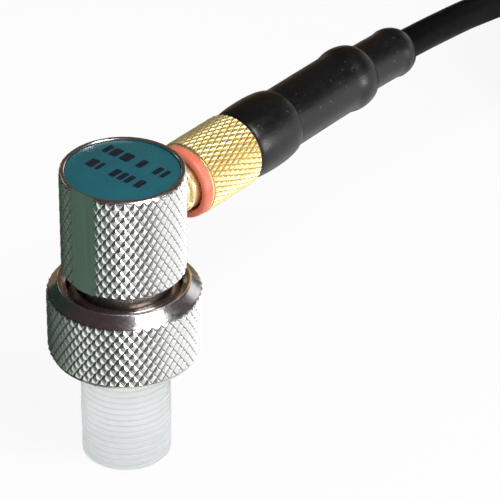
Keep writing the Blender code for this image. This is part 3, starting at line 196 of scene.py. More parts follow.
card("left_card", (0.025, 0.042, 0.034), (-0.265, 0.179, 0.04), 1.08, 0.28,
     (0.552, -0.834, 0.0), "X", 0.42)
card("front_card", (0.19, 0.17, 0.155), (-0.257, -0.034, 0.04), 0.312, 0.28,
     (0.257, 0.034, 0.0), "X", 0.34)
card("low_card", (0.10, 0.165, 0.125), (-0.154, 0.141, 0.001), 0.292, 0.318, UPWARD, "Y", 0.038)
card("near_card", (0.04, 0.066, 0.05), (0.006, 0.154, 0.001), 0.028, 0.30, UPWARD)
card("behind_card", (0.27, 0.18, 0.09), (0.076, 0.154, 0.001), 0.112, 0.30, UPWARD)
card("right_card", (0.11, 0.075, 0.085), (0.353, -0.188, 0.20), 0.36, 0.12)
card("far_card", (0.15, 0.085, 0.03), (0.238, 0.199, 0.03), 0.30, 0.20)
card("sky_card", (0.11, 0.075, 0.085), (0.0, 0.0, 0.42), 1.5, 1.5)
card("back_card", (0.15, 0.11, 0.08), (0.30, 0.24, 0.27), 0.60, 0.26)


# Lead. A thin coaxial cable in a satin black jacket: it leaves the plug, droops onto the hank
# and is folded there in six layers of two turns, pinched at the waist, before the far plug.

CABLE_DIAMETER = 2.7 * MM
CABLE_START = 13.95 * MM        # crimped end, inside the plug
SLEEVE_MOUTH = 36.95 * MM       # where it leaves the inner sleeve
JACK_Z = 22.29 * MM
DROOP_START = 25.0 * MM
DROOP_PER_METRE = 2.7
FREE_STEP = 2.2 * MM
FREE_POINTS = 16
HANK_X = 103.5 * MM
HALF_RUN = 26.8 * MM
LOOP_RADIUS = 8.975 * MM
WAIST = 2.775 * MM              # of the mid line from the hank's axis
WAIST_HALF_LENGTH = 3.6 * MM
TURN_PITCH = 2.75 * MM
LAYER_PITCH = 2.72 * MM
LAYERS = 6
TOP_LAYER_Z = 15.4 * MM
LANDING = -20.0 * MM            # where it meets the hank, along the track from the waist
TRACK_STEPS = 60                # in each half run and each end loop
HANK_STEP = 2.1 * MM
FAR_BOOT_X = 151.0 * MM
FAR_Y = -4.4 * MM
FAR_Z = 7.2 * MM
SINKING_MM = ((54.0, 0.0, 19.85), (60.0, -0.35, 19.15), (66.0, -1.5, 18.65),
              (72.0, -3.6, 18.45), (78.0, -6.7, 18.25))


def curve_through(points, spacing):
    """Points about spacing apart on a smooth curve through the given points."""
    ends = [points[0] * 2 - points[1]] + points + [points[-1] * 2 - points[-2]]
    path = []
    for i in range(1, len(ends) - 2):
        p0, p1, p2, p3 = ends[i - 1:i + 3]
        parts = max(1, round((p2 - p1).length / spacing))
        for k in range(parts):
            t = k / parts
            path.append(0.5 * ((2 * p1) + (p2 - p0) * t + (2 * p0 - 5 * p1 + 4 * p2 - p3) * t * t
                               + (3 * p1 - p0 - 3 * p2 + p3) * t ** 3))
    path.append(points[-1].copy())
    return path


def drop(x):
    """How far the sleeves and the lead hang below the jack's axis at x."""
    return DROOP_PER_METRE * max(0.0, x - DROOP_START) ** 2


def ease(share):
    """0 to 1 with level ends."""
    share = min(max(share, 0.0), 1.0)
    return share * share * (3 - 2 * share)


def hank_track():
    """Points of the mid line between the two turns, once round, from the waist heading +X."""
    span = HALF_RUN - WAIST_HALF_LENGTH
    run = [HALF_RUN * i / TRACK_STEPS for i in range(TRACK_STEPS)]
    half = [(x, WAIST + (LOOP_RADIUS - WAIST) * ease((x - WAIST_HALF_LENGTH) / span))
            for x in run]
    arc = [math.pi * i / TRACK_STEPS for i in range(TRACK_STEPS + 1)]
    far = [(HALF_RUN + LOOP_RADIUS * math.sin(a), -LOOP_RADIUS * math.cos(a)) for a in arc]
    track = [(x, -y) for x, y in half] + far + [(x, y) for x, y in reversed(half)][:-1]
    track += [(-x, -y) for x, y in track]
    return [Vector((HANK_X + x, y, 0.0)) for x, y in track]


track = hank_track()
marks = [0.0]
for here, there in zip(track, track[1:] + track[:1]):
    marks.append(marks[-1] + (there - here).length)
lap = marks[-1]
run_end = marks[TRACK_STEPS]


def on_track(along, offset, z):
    """The point at a distance along the track, offset outwards from it."""
    along %= lap
    i = max(k for k in range(len(track)) if marks[k] <= along)
    here, there = track[i], track[(i + 1) % len(track)]
    before, after = track[i - 1], track[(i + 2) % len(track)]
    t = (along - marks[i]) / (marks[i + 1] - marks[i])
    heading = (there - before).normalized() * (1 - t) + (after - here).normalized() * t
    heading.normalize()
    out = Vector((heading.y, -heading.x, 0.0))
    place = here.lerp(there, t) + out * offset
    place.z = z
    return place


step_length = (2 * lap - (run_end - LANDING)) / (2 * LAYERS)
hank_line = []
along = LANDING
end = LANDING + LAYERS * (2 * lap - 2 * step_length)
while along < end - 1.0 * MM:
    layer = int((along - LANDING) / (2 * lap - 2 * step_length))
    since = along - LANDING - layer * (2 * lap - 2 * step_length)
    side = 1 if layer % 2 == 0 else -1
    sinking = 1 - ease(since / step_length)
    crossing = ease((since - lap + step_length) / step_length)
    hank_line.append(on_track(along, side * (1 - 2 * crossing) * TURN_PITCH / 2,
                              TOP_LAYER_Z + LAYER_PITCH * (sinking - layer)))
    along += HANK_STEP
stations = [CABLE_START + i * FREE_STEP for i in range(FREE_POINTS)]
free_line = [Vector((x, 0.0, JACK_Z - drop(x))) for x in stations]
free_line += [Vector(point) * MM for point in SINKING_MM]
lead_line = curve_through(free_line + hank_line[:1], FREE_STEP)
tail_start = on_track(run_end, TURN_PITCH / 2, TOP_LAYER_Z - (LAYERS - 1) * LAYER_PITCH)
tail_turn = tail_start + Vector((9.0, 0.0, 0.0)) * MM
far_plug = Vector((FAR_BOOT_X, FAR_Y, FAR_Z))
tail_line = curve_through([
    tail_start, (tail_start + tail_turn) / 2, tail_turn + Vector((0.0, 0.4, 0.35)) * MM,
    (tail_turn + far_plug) / 2, far_plug - Vector((1.0, 0.1, 0.1)) * MM,
    far_plug + Vector((1.0, 0.0, 0.0)) * MM, far_plug + Vector((13.0, 0.0, 0.0)) * MM], 2.0 * MM)
whole_line = lead_line[:-1] + hank_line + tail_line


def cloud_on(tree, scale, detail, stretch):
    """Cloudy noise on the piece's own coordinates."""
    coords = tree.nodes.new("ShaderNodeTexCoord")
    place = tree.nodes.new("ShaderNodeMapping")
    place.inputs["Scale"].default_value = stretch
    cloud = tree.nodes.new("ShaderNodeTexNoise")
    cloud.inputs["Scale"].default_value = scale
    cloud.inputs["Detail"].default_value = detail
    tree.links.new(coords.outputs["Object"], place.inputs["Vector"])
    tree.links.new(place.outputs[0], cloud.inputs["Vector"])
    return cloud.outputs["Fac"]


def mottled(tree, shader, scale, dark, light, stretch=(1, 1, 1)):
    """Uneven colour that wanders between dark and light."""
    ramp = tree.nodes.new("ShaderNodeValToRGB")
    ramp.color_ramp.elements[0].position = 0.3
    ramp.color_ramp.elements[1].position = 0.7
    ramp.color_ramp.elements[0].color = (*dark, 1.0)
    ramp.color_ramp.elements[1].color = (*light, 1.0)
    tree.links.new(cloud_on(tree, scale, 5.0, stretch), ramp.inputs["Fac"])
    tree.links.new(ramp.outputs["Color"], shader.inputs["Base Color"])
    return ramp


def uneven_gloss(tree, shader, scale, low, high, stretch=(1, 1, 1)):
    """Roughness that wanders between low and high."""
    span = tree.nodes.new("ShaderNodeMapRange")
    span.inputs["From Min"].default_value = 0.3
    span.inputs["From Max"].default_value = 0.7
    span.inputs["To Min"].default_value = low
    span.inputs["To Max"].default_value = high
    tree.links.new(cloud_on(tree, scale, 6.0, stretch), span.inputs["Value"])
    tree.links.new(span.outputs[0], shader.inputs["Roughness"])


def fine_relief(tree, shader, scale, height, stretch=(1, 1, 1)):
    """Small bumps; a second call lies over the first."""
    bump = tree.nodes.new("ShaderNodeBump")
    bump.inputs["Strength"].default_value = 1.0
    bump.inputs["Distance"].default_value = height
    tree.links.new(cloud_on(tree, scale, 4.0, stretch), bump.inputs["Height"])
    under = shader.inputs["Normal"].links
    if under:
        tree.links.new(under[0].from_socket, bump.inputs["Normal"])
    tree.links.new(bump.outputs[0], shader.inputs["Normal"])


jacket, tree, shader = shader_tree("black_jacket_look")
shader.inputs["Specular IOR Level"].default_value = 0.05
mottled(tree, shader, 900.0, (0.002, 0.002, 0.0023), (0.004, 0.004, 0.0045))
uneven_gloss(tree, shader, 700.0, 0.34, 0.48)
fine_relief(tree, shader, 5000.0, 0.006 * MM)

lead_curve = bpy.data.curves.new("lead", 'CURVE')
lead_curve.dimensions = '3D'
spline = lead_curve.splines.new('POLY')
spline.points.add(len(whole_line) - 1)
for target, point in zip(spline.points, whole_line):
    target.co = (*point, 1.0)
lead_curve.bevel_depth = CABLE_DIAMETER / 2
lead_curve.bevel_resolution = 5
lead_curve.use_fill_caps = True
lead_curve.materials.append(jacket)
spline.use_smooth = True
lead = bpy.data.objects.new("lead", lead_curve)
scene.collection.objects.link(lead)
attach(lead, "transducer")
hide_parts("cable", "cable_coil", "cable_tail")


# Hank tie. A narrow strap of black woven cloth, wrapped once round the pinched waist of the
# hank and closed flush.

STRAP_THICKNESS = 0.4 * MM

tie_cloth, tree, shader = shader_tree("tie_cloth")
shader.inputs["Sheen Weight"].default_value = 0.3
shader.inputs["Roughness"].default_value = 0.85
mottled(tree, shader, 1500.0, (0.012, 0.012, 0.013), (0.030, 0.030, 0.032))
fine_relief(tree, shader, 9000.0, 0.03 * MM, (1.0, 0.35, 1.0))

low, high = (Vector(corner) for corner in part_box("coil_tie"))
centre = (low + high) / 2
strap_width = high.x - low.x
bpy.ops.object.select_all(action='DESELECT')
bpy.ops.mesh.primitive_plane_add(size=2.0)
tie = bpy.context.object
tie.name = "strap_tie"
tie.scale = ((high.z - low.z) / 2 - STRAP_THICKNESS / 2,
             (high.y - low.y) / 2 - STRAP_THICKNESS / 2, 1.0)
tie.rotation_euler = (0.0, math.radians(90.0), 0.0)
bpy.ops.object.transform_apply(location=False, rotation=True, scale=True)
bpy.ops.object.mode_set(mode='EDIT')
bpy.ops.mesh.select_all(action='SELECT')
bpy.ops.mesh.delete(type='ONLY_FACE')
bpy.ops.mesh.select_all(action='SELECT')
bpy.ops.mesh.bevel(offset=0.6 * MM, segments=5, affect='VERTICES')
bpy.ops.mesh.select_all(action='SELECT')
bpy.ops.mesh.extrude_edges_move(TRANSFORM_OT_translate={"value": (strap_width, 0.0, 0.0)})
bpy.ops.mesh.select_all(action='SELECT')
bpy.ops.transform.translate(value=centre - Vector((strap_width / 2, 0.0, 0.0)))
bpy.ops.mesh.normals_make_consistent(inside=False)
bpy.ops.object.mode_set(mode='OBJECT')
wall = tie.modifiers.new("wall", 'SOLIDIFY')
wall.thickness = STRAP_THICKNESS
wall.offset = 0.0
edge = tie.modifiers.new("edge", 'BEVEL')
edge.width = 0.1 * MM
edge.segments = 2
for modifier in ("wall", "edge"):
    bpy.ops.object.modifier_apply(modifier=modifier)
bpy.ops.object.shade_smooth()
tie.data.materials.append(tie_cloth)
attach(tie, "transducer")
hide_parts("coil_tie")


# Far plug. A quarter-turn bayonet plug in bright nickel: crimped behind, with a moulded boot,
# a turned body whose contact tube holds a white insulator and a gold pin, and a loose sleeve.

SAME_POINT = 0.002 * MM


def lathe(name, outline, segments, edge=0.0, closed=True):
    """Extrude one point along an (r, z) outline in mm, spin it about Z and break its edges."""
    bpy.ops.object.select_all(action='DESELECT')
    r, z = outline[0]
    bpy.ops.mesh.primitive_plane_add(size=MM, location=(r * MM, 0.0, z * MM))
    obj = bpy.context.object
    obj.name = name
    bpy.ops.object.transform_apply(location=True, rotation=False, scale=False)
    bpy.ops.object.mode_set(mode='EDIT')
    bpy.ops.mesh.select_all(action='SELECT')
    bpy.ops.mesh.merge(type='CENTER')
    closed = closed and outline[0][0] > 0
    for (r0, z0), (r1, z1) in zip(outline, outline[1:] + (outline[:1] if closed else [])):
        bpy.ops.mesh.extrude_vertices_move(
            TRANSFORM_OT_translate={"value": ((r1 - r0) * MM, 0.0, (z1 - z0) * MM)})
    bpy.ops.mesh.select_all(action='SELECT')
    bpy.ops.mesh.remove_doubles(threshold=SAME_POINT)
    bpy.ops.mesh.select_all(action='SELECT')
    bpy.ops.mesh.spin(steps=segments, angle=2 * math.pi, center=(0, 0, 0), axis=(0, 0, 1))
    bpy.ops.mesh.select_all(action='SELECT')
    bpy.ops.mesh.remove_doubles(threshold=SAME_POINT)
    bpy.ops.mesh.normals_make_consistent(inside=False)
    bpy.ops.object.mode_set(mode='OBJECT')
    if edge > 0:
        soften = obj.modifiers.new("edge", 'BEVEL')
        soften.width = edge * MM
        soften.segments = 2
        soften.limit_method = 'ANGLE'
        soften.angle_limit = math.radians(28.0)
        soften.use_clamp_overlap = True
        bpy.ops.object.modifier_apply(modifier="edge")
    bpy.ops.object.shade_smooth_by_angle(angle=math.radians(32.0))
    return obj


def onto_axis(obj, y, z):
    """Lay a piece made about Z along X through (y, z), its place in its mesh."""
    bpy.ops.object.select_all(action='DESELECT')
    obj.select_set(True)
    bpy.context.view_layer.objects.active = obj
    obj.rotation_euler = (0.0, math.radians(90.0), 0.0)
    obj.location = (0.0, y, z)
    bpy.ops.object.transform_apply(location=True, rotation=True, scale=False)
    return obj


def dress(obj, finish, slot, body, *nodes):
    """Give a piece its finish, its body and the solids that it stands for."""
    if finish:
        obj.data.materials.clear()
        obj.data.materials.append(finish)
    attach(obj, body)
    if nodes:
        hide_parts(*nodes)


nickel, tree, shader = shader_tree("bright_nickel")
shader.inputs["Metallic"].default_value = 1.0
mottled(tree, shader, 600.0, (0.62, 0.60, 0.56), (0.74, 0.73, 0.70))
uneven_gloss(tree, shader, 2500.0, 0.16, 0.30, (1.0, 1.0, 6.0))

gold, tree, shader = shader_tree("pale_gold")
shader.inputs["Metallic"].default_value = 0.8
mottled(tree, shader, 700.0, (0.96, 0.81, 0.42), (1.0, 0.91, 0.55))
uneven_gloss(tree, shader, 3000.0, 0.20, 0.34)

white_plastic, tree, shader = shader_tree("white_plastic")
mottled(tree, shader, 1500.0, (0.74, 0.73, 0.69), (0.84, 0.83, 0.80))
uneven_gloss(tree, shader, 3000.0, 0.30, 0.45)

rubber_boot, tree, shader = shader_tree("black_moulding")
mottled(tree, shader, 1200.0, (0.012, 0.012, 0.013), (0.022, 0.022, 0.024))
uneven_gloss(tree, shader, 1500.0, 0.42, 0.58)
fine_relief(tree, shader, 7000.0, 0.012 * MM)

red_seal, tree, shader = shader_tree("red_seal")
shader.inputs["Subsurface Weight"].default_value = 0.15
shader.inputs["Subsurface Radius"].default_value = (0.001, 0.0003, 0.0002)
mottled(tree, shader, 1000.0, (0.76, 0.17, 0.10), (0.86, 0.25, 0.155))
uneven_gloss(tree, shader, 1800.0, 0.34, 0.48)
fine_relief(tree, shader, 6000.0, 0.006 * MM)

far_body = lathe("plug_shell", [
    (4.05, 179.66), (4.05, 171.66), (4.8, 171.66), (4.8, 170.26), (4.2, 170.26), (4.2, 167.6),
    (4.9, 167.6), (4.9, 165.4), (4.5, 165.0), (1.45, 165.0), (1.45, 167.6), (3.45, 167.6),
    (3.45, 179.66)], 64, 0.08)
dress(onto_axis(far_body, FAR_Y, FAR_Z), nickel, "nickel_plate", "transducer", "bayonet_body")
far_insulator = lathe("plug_dielectric", [
    (3.38, 172.86), (3.38, 167.68), (0.74, 167.68), (0.74, 172.6), (1.1, 172.86)], 48, 0.05)
dress(onto_axis(far_insulator, FAR_Y, FAR_Z), white_plastic, "white_insulator", "transducer",
      "bayonet_insulator")
far_pin = lathe("plug_contact", [
    (0.0, 178.46), (0.26, 178.42), (0.5, 178.1), (0.66, 177.4), (0.68, 176.9), (0.68, 167.6),
    (0.0, 167.6)], 32, 0.03)
dress(onto_axis(far_pin, FAR_Y, FAR_Z), gold, "gold_plate", "transducer", "bayonet_pin")
far_seal = lathe("plug_seal", [
    (4.8, 172.5), (4.8, 171.74), (4.12, 171.74), (4.12, 172.6), (4.65, 172.6)], 48, 0.08)
dress(onto_axis(far_seal, FAR_Y, FAR_Z), red_seal, "red_silicone", "transducer",
      "bayonet_gasket")
far_crimp = lathe("plug_crimp", [
    (2.75, 164.94), (2.75, 157.0), (1.45, 157.0), (1.45, 164.94)], 48, 0.08)
dress(onto_axis(far_crimp, FAR_Y, FAR_Z), nickel, "nickel_plate", "transducer",
      "bayonet_ferrule")
boot_line = [(3.4, 164.0), (3.65, 163.8), (3.7, 163.4), (3.7, 159.4), (3.6, 158.8)]
boot_line += [(3.5 - 0.14 * k - (0.22 if k % 2 else 0.0), 158.2 - 0.62 * k) for k in range(10)]
boot_line += [(2.1, 151.5), (2.0, 151.1), (1.8, 151.0), (1.45, 151.0), (1.45, 156.9),
              (2.8, 156.95), (2.8, 164.0)]
far_boot = lathe("plug_boot", boot_line, 48, 0.06)
dress(onto_axis(far_boot, FAR_Y, FAR_Z), rubber_boot, "black_shrink_sleeve", "transducer",
      "bayonet_boot")

GRIP_RADIUS = 7.2               # in mm, as in outlines
GRIP_SIDES = 96
FLUTE_EDGE = 0.07 * MM
FLUTE_DEPTH = 0.16 * MM

far_sleeve = lathe("plug_sleeve", [
    (5.9, 181.26), (6.1, 181.06), (6.1, 173.66), (6.9, 173.66), (GRIP_RADIUS, 173.36),
    (GRIP_RADIUS, 168.08), (6.9, 167.68), (4.28, 167.68), (4.28, 170.18), (4.95, 170.18),
    (4.95, 181.06), (5.15, 181.26)], GRIP_SIDES, 0.08)
bpy.ops.object.mode_set(mode='EDIT')
bpy.ops.mesh.select_mode(type='FACE')
mesh = bmesh.from_edit_mesh(far_sleeve.data)
for face in mesh.faces:
    middle = face.calc_center_median()
    sector = int((math.atan2(middle.y, middle.x) + math.pi) / (2 * math.pi) * GRIP_SIDES)
    outside = math.hypot(middle.x, middle.y) > (GRIP_RADIUS - 0.05) * MM
    face.select = (outside and abs(face.normal.z) < 0.1
                   and face.calc_area() > MM * MM and sector % 2 == 0)
bmesh.update_edit_mesh(far_sleeve.data)
bpy.ops.mesh.inset(thickness=FLUTE_EDGE, depth=-FLUTE_DEPTH, use_individual=True)
bpy.ops.mesh.select_mode(type='VERT')
bpy.ops.object.mode_set(mode='OBJECT')

SLOT_RADIUS = 1.05 * MM
SLOT_DEPTH = 2.6 * MM
SLOT_AWAY = 5.5                 # its middle from the plug's axis
SLOT_MOUTH = 182.31
SLOT_BEND = 179.66
slot_path = [(0.0, SLOT_MOUTH), (0.0, SLOT_BEND)]
slot_path += [(8.0 * k, SLOT_BEND - 0.5 * k) for k in range(1, 7)]
for side in (0.0, 180.0):
    for (turn_a, z_a), (turn_b, z_b) in zip(slot_path, slot_path[1:]):
        bpy.ops.object.select_all(action='DESELECT')
        ends = []
        for turned, z in ((turn_a, z_a), (turn_b, z_b)):
            angle = math.radians(turned + side)
            place = Vector((SLOT_AWAY * math.cos(angle), SLOT_AWAY * math.sin(angle), z)) * MM
            bpy.ops.mesh.primitive_cylinder_add(
                vertices=24, radius=SLOT_RADIUS, depth=SLOT_DEPTH, location=place,
                rotation=(0.0, math.radians(90.0), angle))
            ends.append(bpy.context.object)
        for end in ends:
            end.select_set(True)
        bpy.ops.object.join()
        cutter = bpy.context.object
        bpy.ops.object.mode_set(mode='EDIT')
        bpy.ops.mesh.select_all(action='SELECT')
        bpy.ops.mesh.convex_hull()
        bpy.ops.object.mode_set(mode='OBJECT')
        bpy.context.view_layer.objects.active = far_sleeve
        cut = far_sleeve.modifiers.new("slot", 'BOOLEAN')
        cut.operation = 'DIFFERENCE'
        cut.solver = 'EXACT'
        cut.object = cutter
        bpy.ops.object.modifier_apply(modifier="slot")
        bpy.data.objects.remove(cutter, do_unlink=True)
dress(onto_axis(far_sleeve, FAR_Y, FAR_Z), nickel, "nickel_plate", "bayonet_sleeve",
      "bayonet_sleeve")


# Delay line. A turned rod of frosted clear plastic with a clamping flange hidden in the ring;
# the lathe tool has left fine even lines round it.

ROD_RADIUS = 3.70               # this and the sizes of the lines in mm, as in outlines
LINE_DEPTH = 0.12
LINE_PITCH = 0.575
LINE_COUNT = 17
TOP_LINE_Z = 9.75


def away_from_axis(tree, start, end, middle=None):
    """0 to 1 between two radii from Z or, where middle is given, from X at that height."""
    coords = tree.nodes.new("ShaderNodeTexCoord")
    axes = tree.nodes.new("ShaderNodeSeparateXYZ")
    flat = tree.nodes.new("ShaderNodeCombineXYZ")
    radius = tree.nodes.new("ShaderNodeVectorMath")
    radius.operation = 'LENGTH'
    share = tree.nodes.new("ShaderNodeMapRange")
    share.inputs["From Min"].default_value = start
    share.inputs["From Max"].default_value = end
    tree.links.new(coords.outputs["Object"], axes.inputs[0])
    tree.links.new(axes.outputs["Y"], flat.inputs["Y"])
    if middle is None:
        tree.links.new(axes.outputs["X"], flat.inputs["X"])
    else:
        height = tree.nodes.new("ShaderNodeMath")
        height.operation = 'SUBTRACT'
        height.inputs[1].default_value = middle
        tree.links.new(axes.outputs["Z"], height.inputs[0])
        tree.links.new(height.outputs[0], flat.inputs["Z"])
    tree.links.new(flat.outputs[0], radius.inputs[0])
    tree.links.new(radius.outputs["Value"], share.inputs["Value"])
    return share.outputs[0]


frosted, tree, shader = shader_tree("frosted_plastic_look")
shader.inputs["Transmission Weight"].default_value = 0.86
shader.inputs["IOR"].default_value = 1.3
shader.inputs["Specular IOR Level"].default_value = 0.35
coords = tree.nodes.new("ShaderNodeTexCoord")
axes = tree.nodes.new("ShaderNodeSeparateXYZ")
ramp = tree.nodes.new("ShaderNodeValToRGB")
span = tree.nodes.new("ShaderNodeMapRange")
span.inputs["From Max"].default_value = 11.0 * MM
# The grooves of the lathe lines are painted a darker grey than the rod: painted shade in the
# grooves.
lines = tree.nodes.new("ShaderNodeMix")
lines.data_type = 'RGBA'
lines.inputs["A"].default_value = (0.75, 0.79, 0.79, 1.0)
tree.links.new(away_from_axis(tree, (ROD_RADIUS - 0.10) * MM, (ROD_RADIUS - 0.03) * MM),
               lines.inputs["Factor"])
# From about 6 mm up, the rod is painted darker and greenish towards the ring: painted shade under
# the ring.
ramp.color_ramp.elements[0].color = (0.975, 0.99, 0.995, 1.0)
ramp.color_ramp.elements[1].color = (0.76, 0.86, 0.80, 1.0)
ramp.color_ramp.elements[0].position = 0.55
ramp.color_ramp.elements[1].position = 0.95
tree.links.new(coords.outputs["Object"], axes.inputs[0])
tree.links.new(axes.outputs["Z"], span.inputs["Value"])
tree.links.new(span.outputs[0], ramp.inputs["Fac"])
tree.links.new(ramp.outputs["Color"], lines.inputs["B"])
tree.links.new(lines.outputs["Result"], shader.inputs["Base Color"])
uneven_gloss(tree, shader, 1500.0, 0.38, 0.52, (1.0, 1.0, 4.0))
fine_relief(tree, shader, 4000.0, 0.004 * MM, (1.0, 1.0, 6.0))

rod_line = [(0.0, 12.5), (4.35, 12.5), (4.35, 11.2), (ROD_RADIUS, 11.2), (ROD_RADIUS, 10.0)]
for k in range(LINE_COUNT):
    z = TOP_LINE_Z - LINE_PITCH * k
    rod_line += [(ROD_RADIUS, z), (ROD_RADIUS - LINE_DEPTH, z - 0.09),
                 (ROD_RADIUS - LINE_DEPTH, z - 0.14), (ROD_RADIUS, z - 0.23)]
rod_line += [(ROD_RADIUS, 0.1), (ROD_RADIUS - 0.1, 0.0), (0.0, 0.0)]
rod = lathe("delay_rod", rod_line, 96)
dress(rod, frosted, "frosted_plastic", "transducer", "delay_line")


# Case. One turned and knurled piece of stainless steel: a diamond-knurled head with one milled
# flat and a counterbore for the label, an undercut neck, and the shank inside the ring. The
# jack's hole is drilled through the head's wall opposite the flat.

HEAD_ROOT = 4.89                # radius of the knurl's valleys in mm
HEAD_TEETH = 42
FLAT_X = -4.765 * MM
JACK_HOLE_RADIUS = 1.90 * MM
JACK_HOLE_X = 4.8 * MM
LAND_EDGE = 0.04 * MM
LAND_RISE = 0.02 * MM


def grooved_metal(name, dark, pale, painted_shade, full_shade_end, unshaded_start, gloss, middle=None,
                  metallic=1.0):
    """Bright metal with painted shade in the valleys and recesses that lie nearest its axis.

    The painted shade thins out between the radii full_shade_end and unshaded_start in mm,
    measured from Z or, where middle is given, from a line along X at that height; gloss is the
    range of roughness.
    """
    mat, tree, shader = shader_tree(name)
    shader.inputs["Metallic"].default_value = metallic
    ramp = mottled(tree, shader, 900.0, dark, pale, (1.0, 1.0, 3.0))
    # Near the axis the colour is mixed towards a dark one: painted shade in the valleys and
    # recesses.
    mix = tree.nodes.new("ShaderNodeMix")
    mix.data_type = 'RGBA'
    mix.inputs["A"].default_value = (*painted_shade, 1.0)
    tree.links.new(away_from_axis(tree, full_shade_end * MM, unshaded_start * MM, middle),
                   mix.inputs["Factor"])
    tree.links.new(ramp.outputs["Color"], mix.inputs["B"])
    tree.links.new(mix.outputs["Result"], shader.inputs["Base Color"])
    uneven_gloss(tree, shader, 4000.0, *gloss)
    return mat


# Painted shade: the shank steel is painted darker below 4.5 mm from the axis, in the neck and
# bore under the head, and the knurled steel is painted dark in the knurl's valleys.
shank_steel = grooved_metal("shank_steel", (0.70, 0.69, 0.67), (0.80, 0.79, 0.78),
                            (0.54, 0.49, 0.46), 4.50, 4.56, (0.16, 0.26))
head_steel = grooved_metal("knurled_steel", (0.86, 0.86, 0.85), (0.94, 0.94, 0.93),
                           (0.20, 0.185, 0.17), HEAD_ROOT + 0.005, HEAD_ROOT + 0.055,
                           (0.20, 0.32))


def knurled_band(name, root_radius, teeth, rows, low, high, flank, depth):
    """A diamond-knurled band about Z, open at both ends, pressed up from a flat sheet.

    A grid as long as the girth is joined corner to corner, rolled up and welded, and the points
    between the diamonds are dissolved; each diamond is then inset and raised, twice.
    """
    girth = 2 * math.pi * root_radius
    bpy.ops.object.select_all(action='DESELECT')
    bpy.ops.mesh.primitive_grid_add(x_subdivisions=2 * teeth, y_subdivisions=rows, size=2.0)
    obj = bpy.context.object
    obj.name = name
    obj.scale = (girth / 2, (high - low) / 2, 1.0)
    bpy.ops.object.transform_apply(location=False, rotation=False, scale=True)
    bpy.ops.object.mode_set(mode='EDIT')
    bpy.ops.mesh.select_mode(type='VERT')
    mesh = bmesh.from_edit_mesh(obj.data)
    for vert in mesh.verts:
        column = round((vert.co.x / girth + 0.5) * 2 * teeth)
        row = round((vert.co.y / (high - low) + 0.5) * rows)
        vert.select = (column + row) % 2 == 1
    mesh.select_flush(True)
    bmesh.update_edit_mesh(obj.data)
    bpy.ops.mesh.vert_connect()
    bpy.ops.object.mode_set(mode='OBJECT')
    obj.rotation_euler = (math.radians(90.0), 0.0, 0.0)
    bpy.ops.object.transform_apply(location=False, rotation=True, scale=False)
    roll = obj.modifiers.new("roll", 'SIMPLE_DEFORM')
    roll.deform_method = 'BEND'
    roll.deform_axis = 'Z'
    roll.angle = 2 * math.pi
    bpy.ops.object.modifier_apply(modifier="roll")
    obj.location = (0.0, -root_radius, (low + high) / 2)
    bpy.ops.object.transform_apply(location=True, rotation=False, scale=False)
    bpy.ops.object.mode_set(mode='EDIT')
    bpy.ops.mesh.select_all(action='SELECT')
    bpy.ops.mesh.remove_doubles(threshold=0.01 * MM)
    mesh = bmesh.from_edit_mesh(obj.data)
    half_step = math.pi / teeth
    row_height = (high - low) / rows
    for vert in mesh.verts:
        column = round((math.atan2(vert.co.x, -vert.co.y) + 4 * math.pi) / half_step)
        row = round((vert.co.z - low) / row_height)
        vert.select = (column + row + teeth) % 2 == 0
    mesh.select_flush(True)
    bmesh.update_edit_mesh(obj.data)
    bpy.ops.mesh.dissolve_verts()
    bpy.ops.mesh.select_all(action='SELECT')
    bpy.ops.mesh.normals_make_consistent(inside=False)
    bpy.ops.mesh.inset(use_boundary=True, thickness=flank, depth=depth, use_individual=True)
    bpy.ops.mesh.inset(thickness=LAND_EDGE, depth=LAND_RISE, use_individual=True)
    bpy.ops.object.mode_set(mode='OBJECT')
    bpy.ops.object.shade_flat()
    return obj


def join_ends(band, core, ends):
    """Join a knurled band to its turned core and bridge the loops at each end height."""
    bpy.ops.object.select_all(action='DESELECT')
    core.select_set(True)
    band.select_set(True)
    bpy.context.view_layer.objects.active = band
    bpy.ops.object.join()
    bpy.ops.object.mode_set(mode='EDIT')
    bpy.ops.mesh.select_mode(type='EDGE')
    for height in ends:
        mesh = bmesh.from_edit_mesh(band.data)
        for edge in mesh.edges:
            edge.select = edge.is_boundary and all(
                abs(vert.co.z - height * MM) < 0.2 * MM for vert in edge.verts)
        bmesh.update_edit_mesh(band.data)
        bpy.ops.mesh.bridge_edge_loops()
    bpy.ops.mesh.select_mode(type='VERT')
    bpy.ops.mesh.select_all(action='SELECT')
    bpy.ops.mesh.normals_make_consistent(inside=False)
    bpy.ops.object.mode_set(mode='OBJECT')
    return band


head_band = knurled_band("case_shell", HEAD_ROOT * MM, HEAD_TEETH, 16, 17.85 * MM, 26.72 * MM,
                         0.15 * MM, 0.14 * MM)
head_core = lathe("head_core", [
    (HEAD_ROOT, 26.75), (4.99, 26.77), (5.01, 26.80), (4.91, 26.90), (4.87, 26.91), (4.66, 26.91),
    (4.60, 26.86), (4.60, 26.31),
    (4.2, 26.31), (4.2, 19.91), (3.675, 19.91), (3.675, 13.06), (3.9, 13.06), (3.9, 12.56),
    (4.3, 12.56), (4.5, 12.76), (4.5, 15.96), (4.3, 16.16), (4.1, 16.16), (4.1, 17.66),
    (4.72, 17.66), (4.82, 17.69), (HEAD_ROOT, 17.81)], HEAD_TEETH, closed=False)
head_band.data.materials.append(head_steel)
head_core.data.materials.append(shank_steel)
case = join_ends(head_band, head_core, (26.74, 17.83))
bpy.ops.object.mode_set(mode='EDIT')
bpy.ops.mesh.select_all(action='SELECT')
bpy.ops.mesh.bisect(plane_co=(FLAT_X, 0.0, 0.0), plane_no=(-1.0, 0.0, 0.0),
                    use_fill=True, clear_outer=True, threshold=0.0001 * MM)
bpy.ops.object.mode_set(mode='OBJECT')
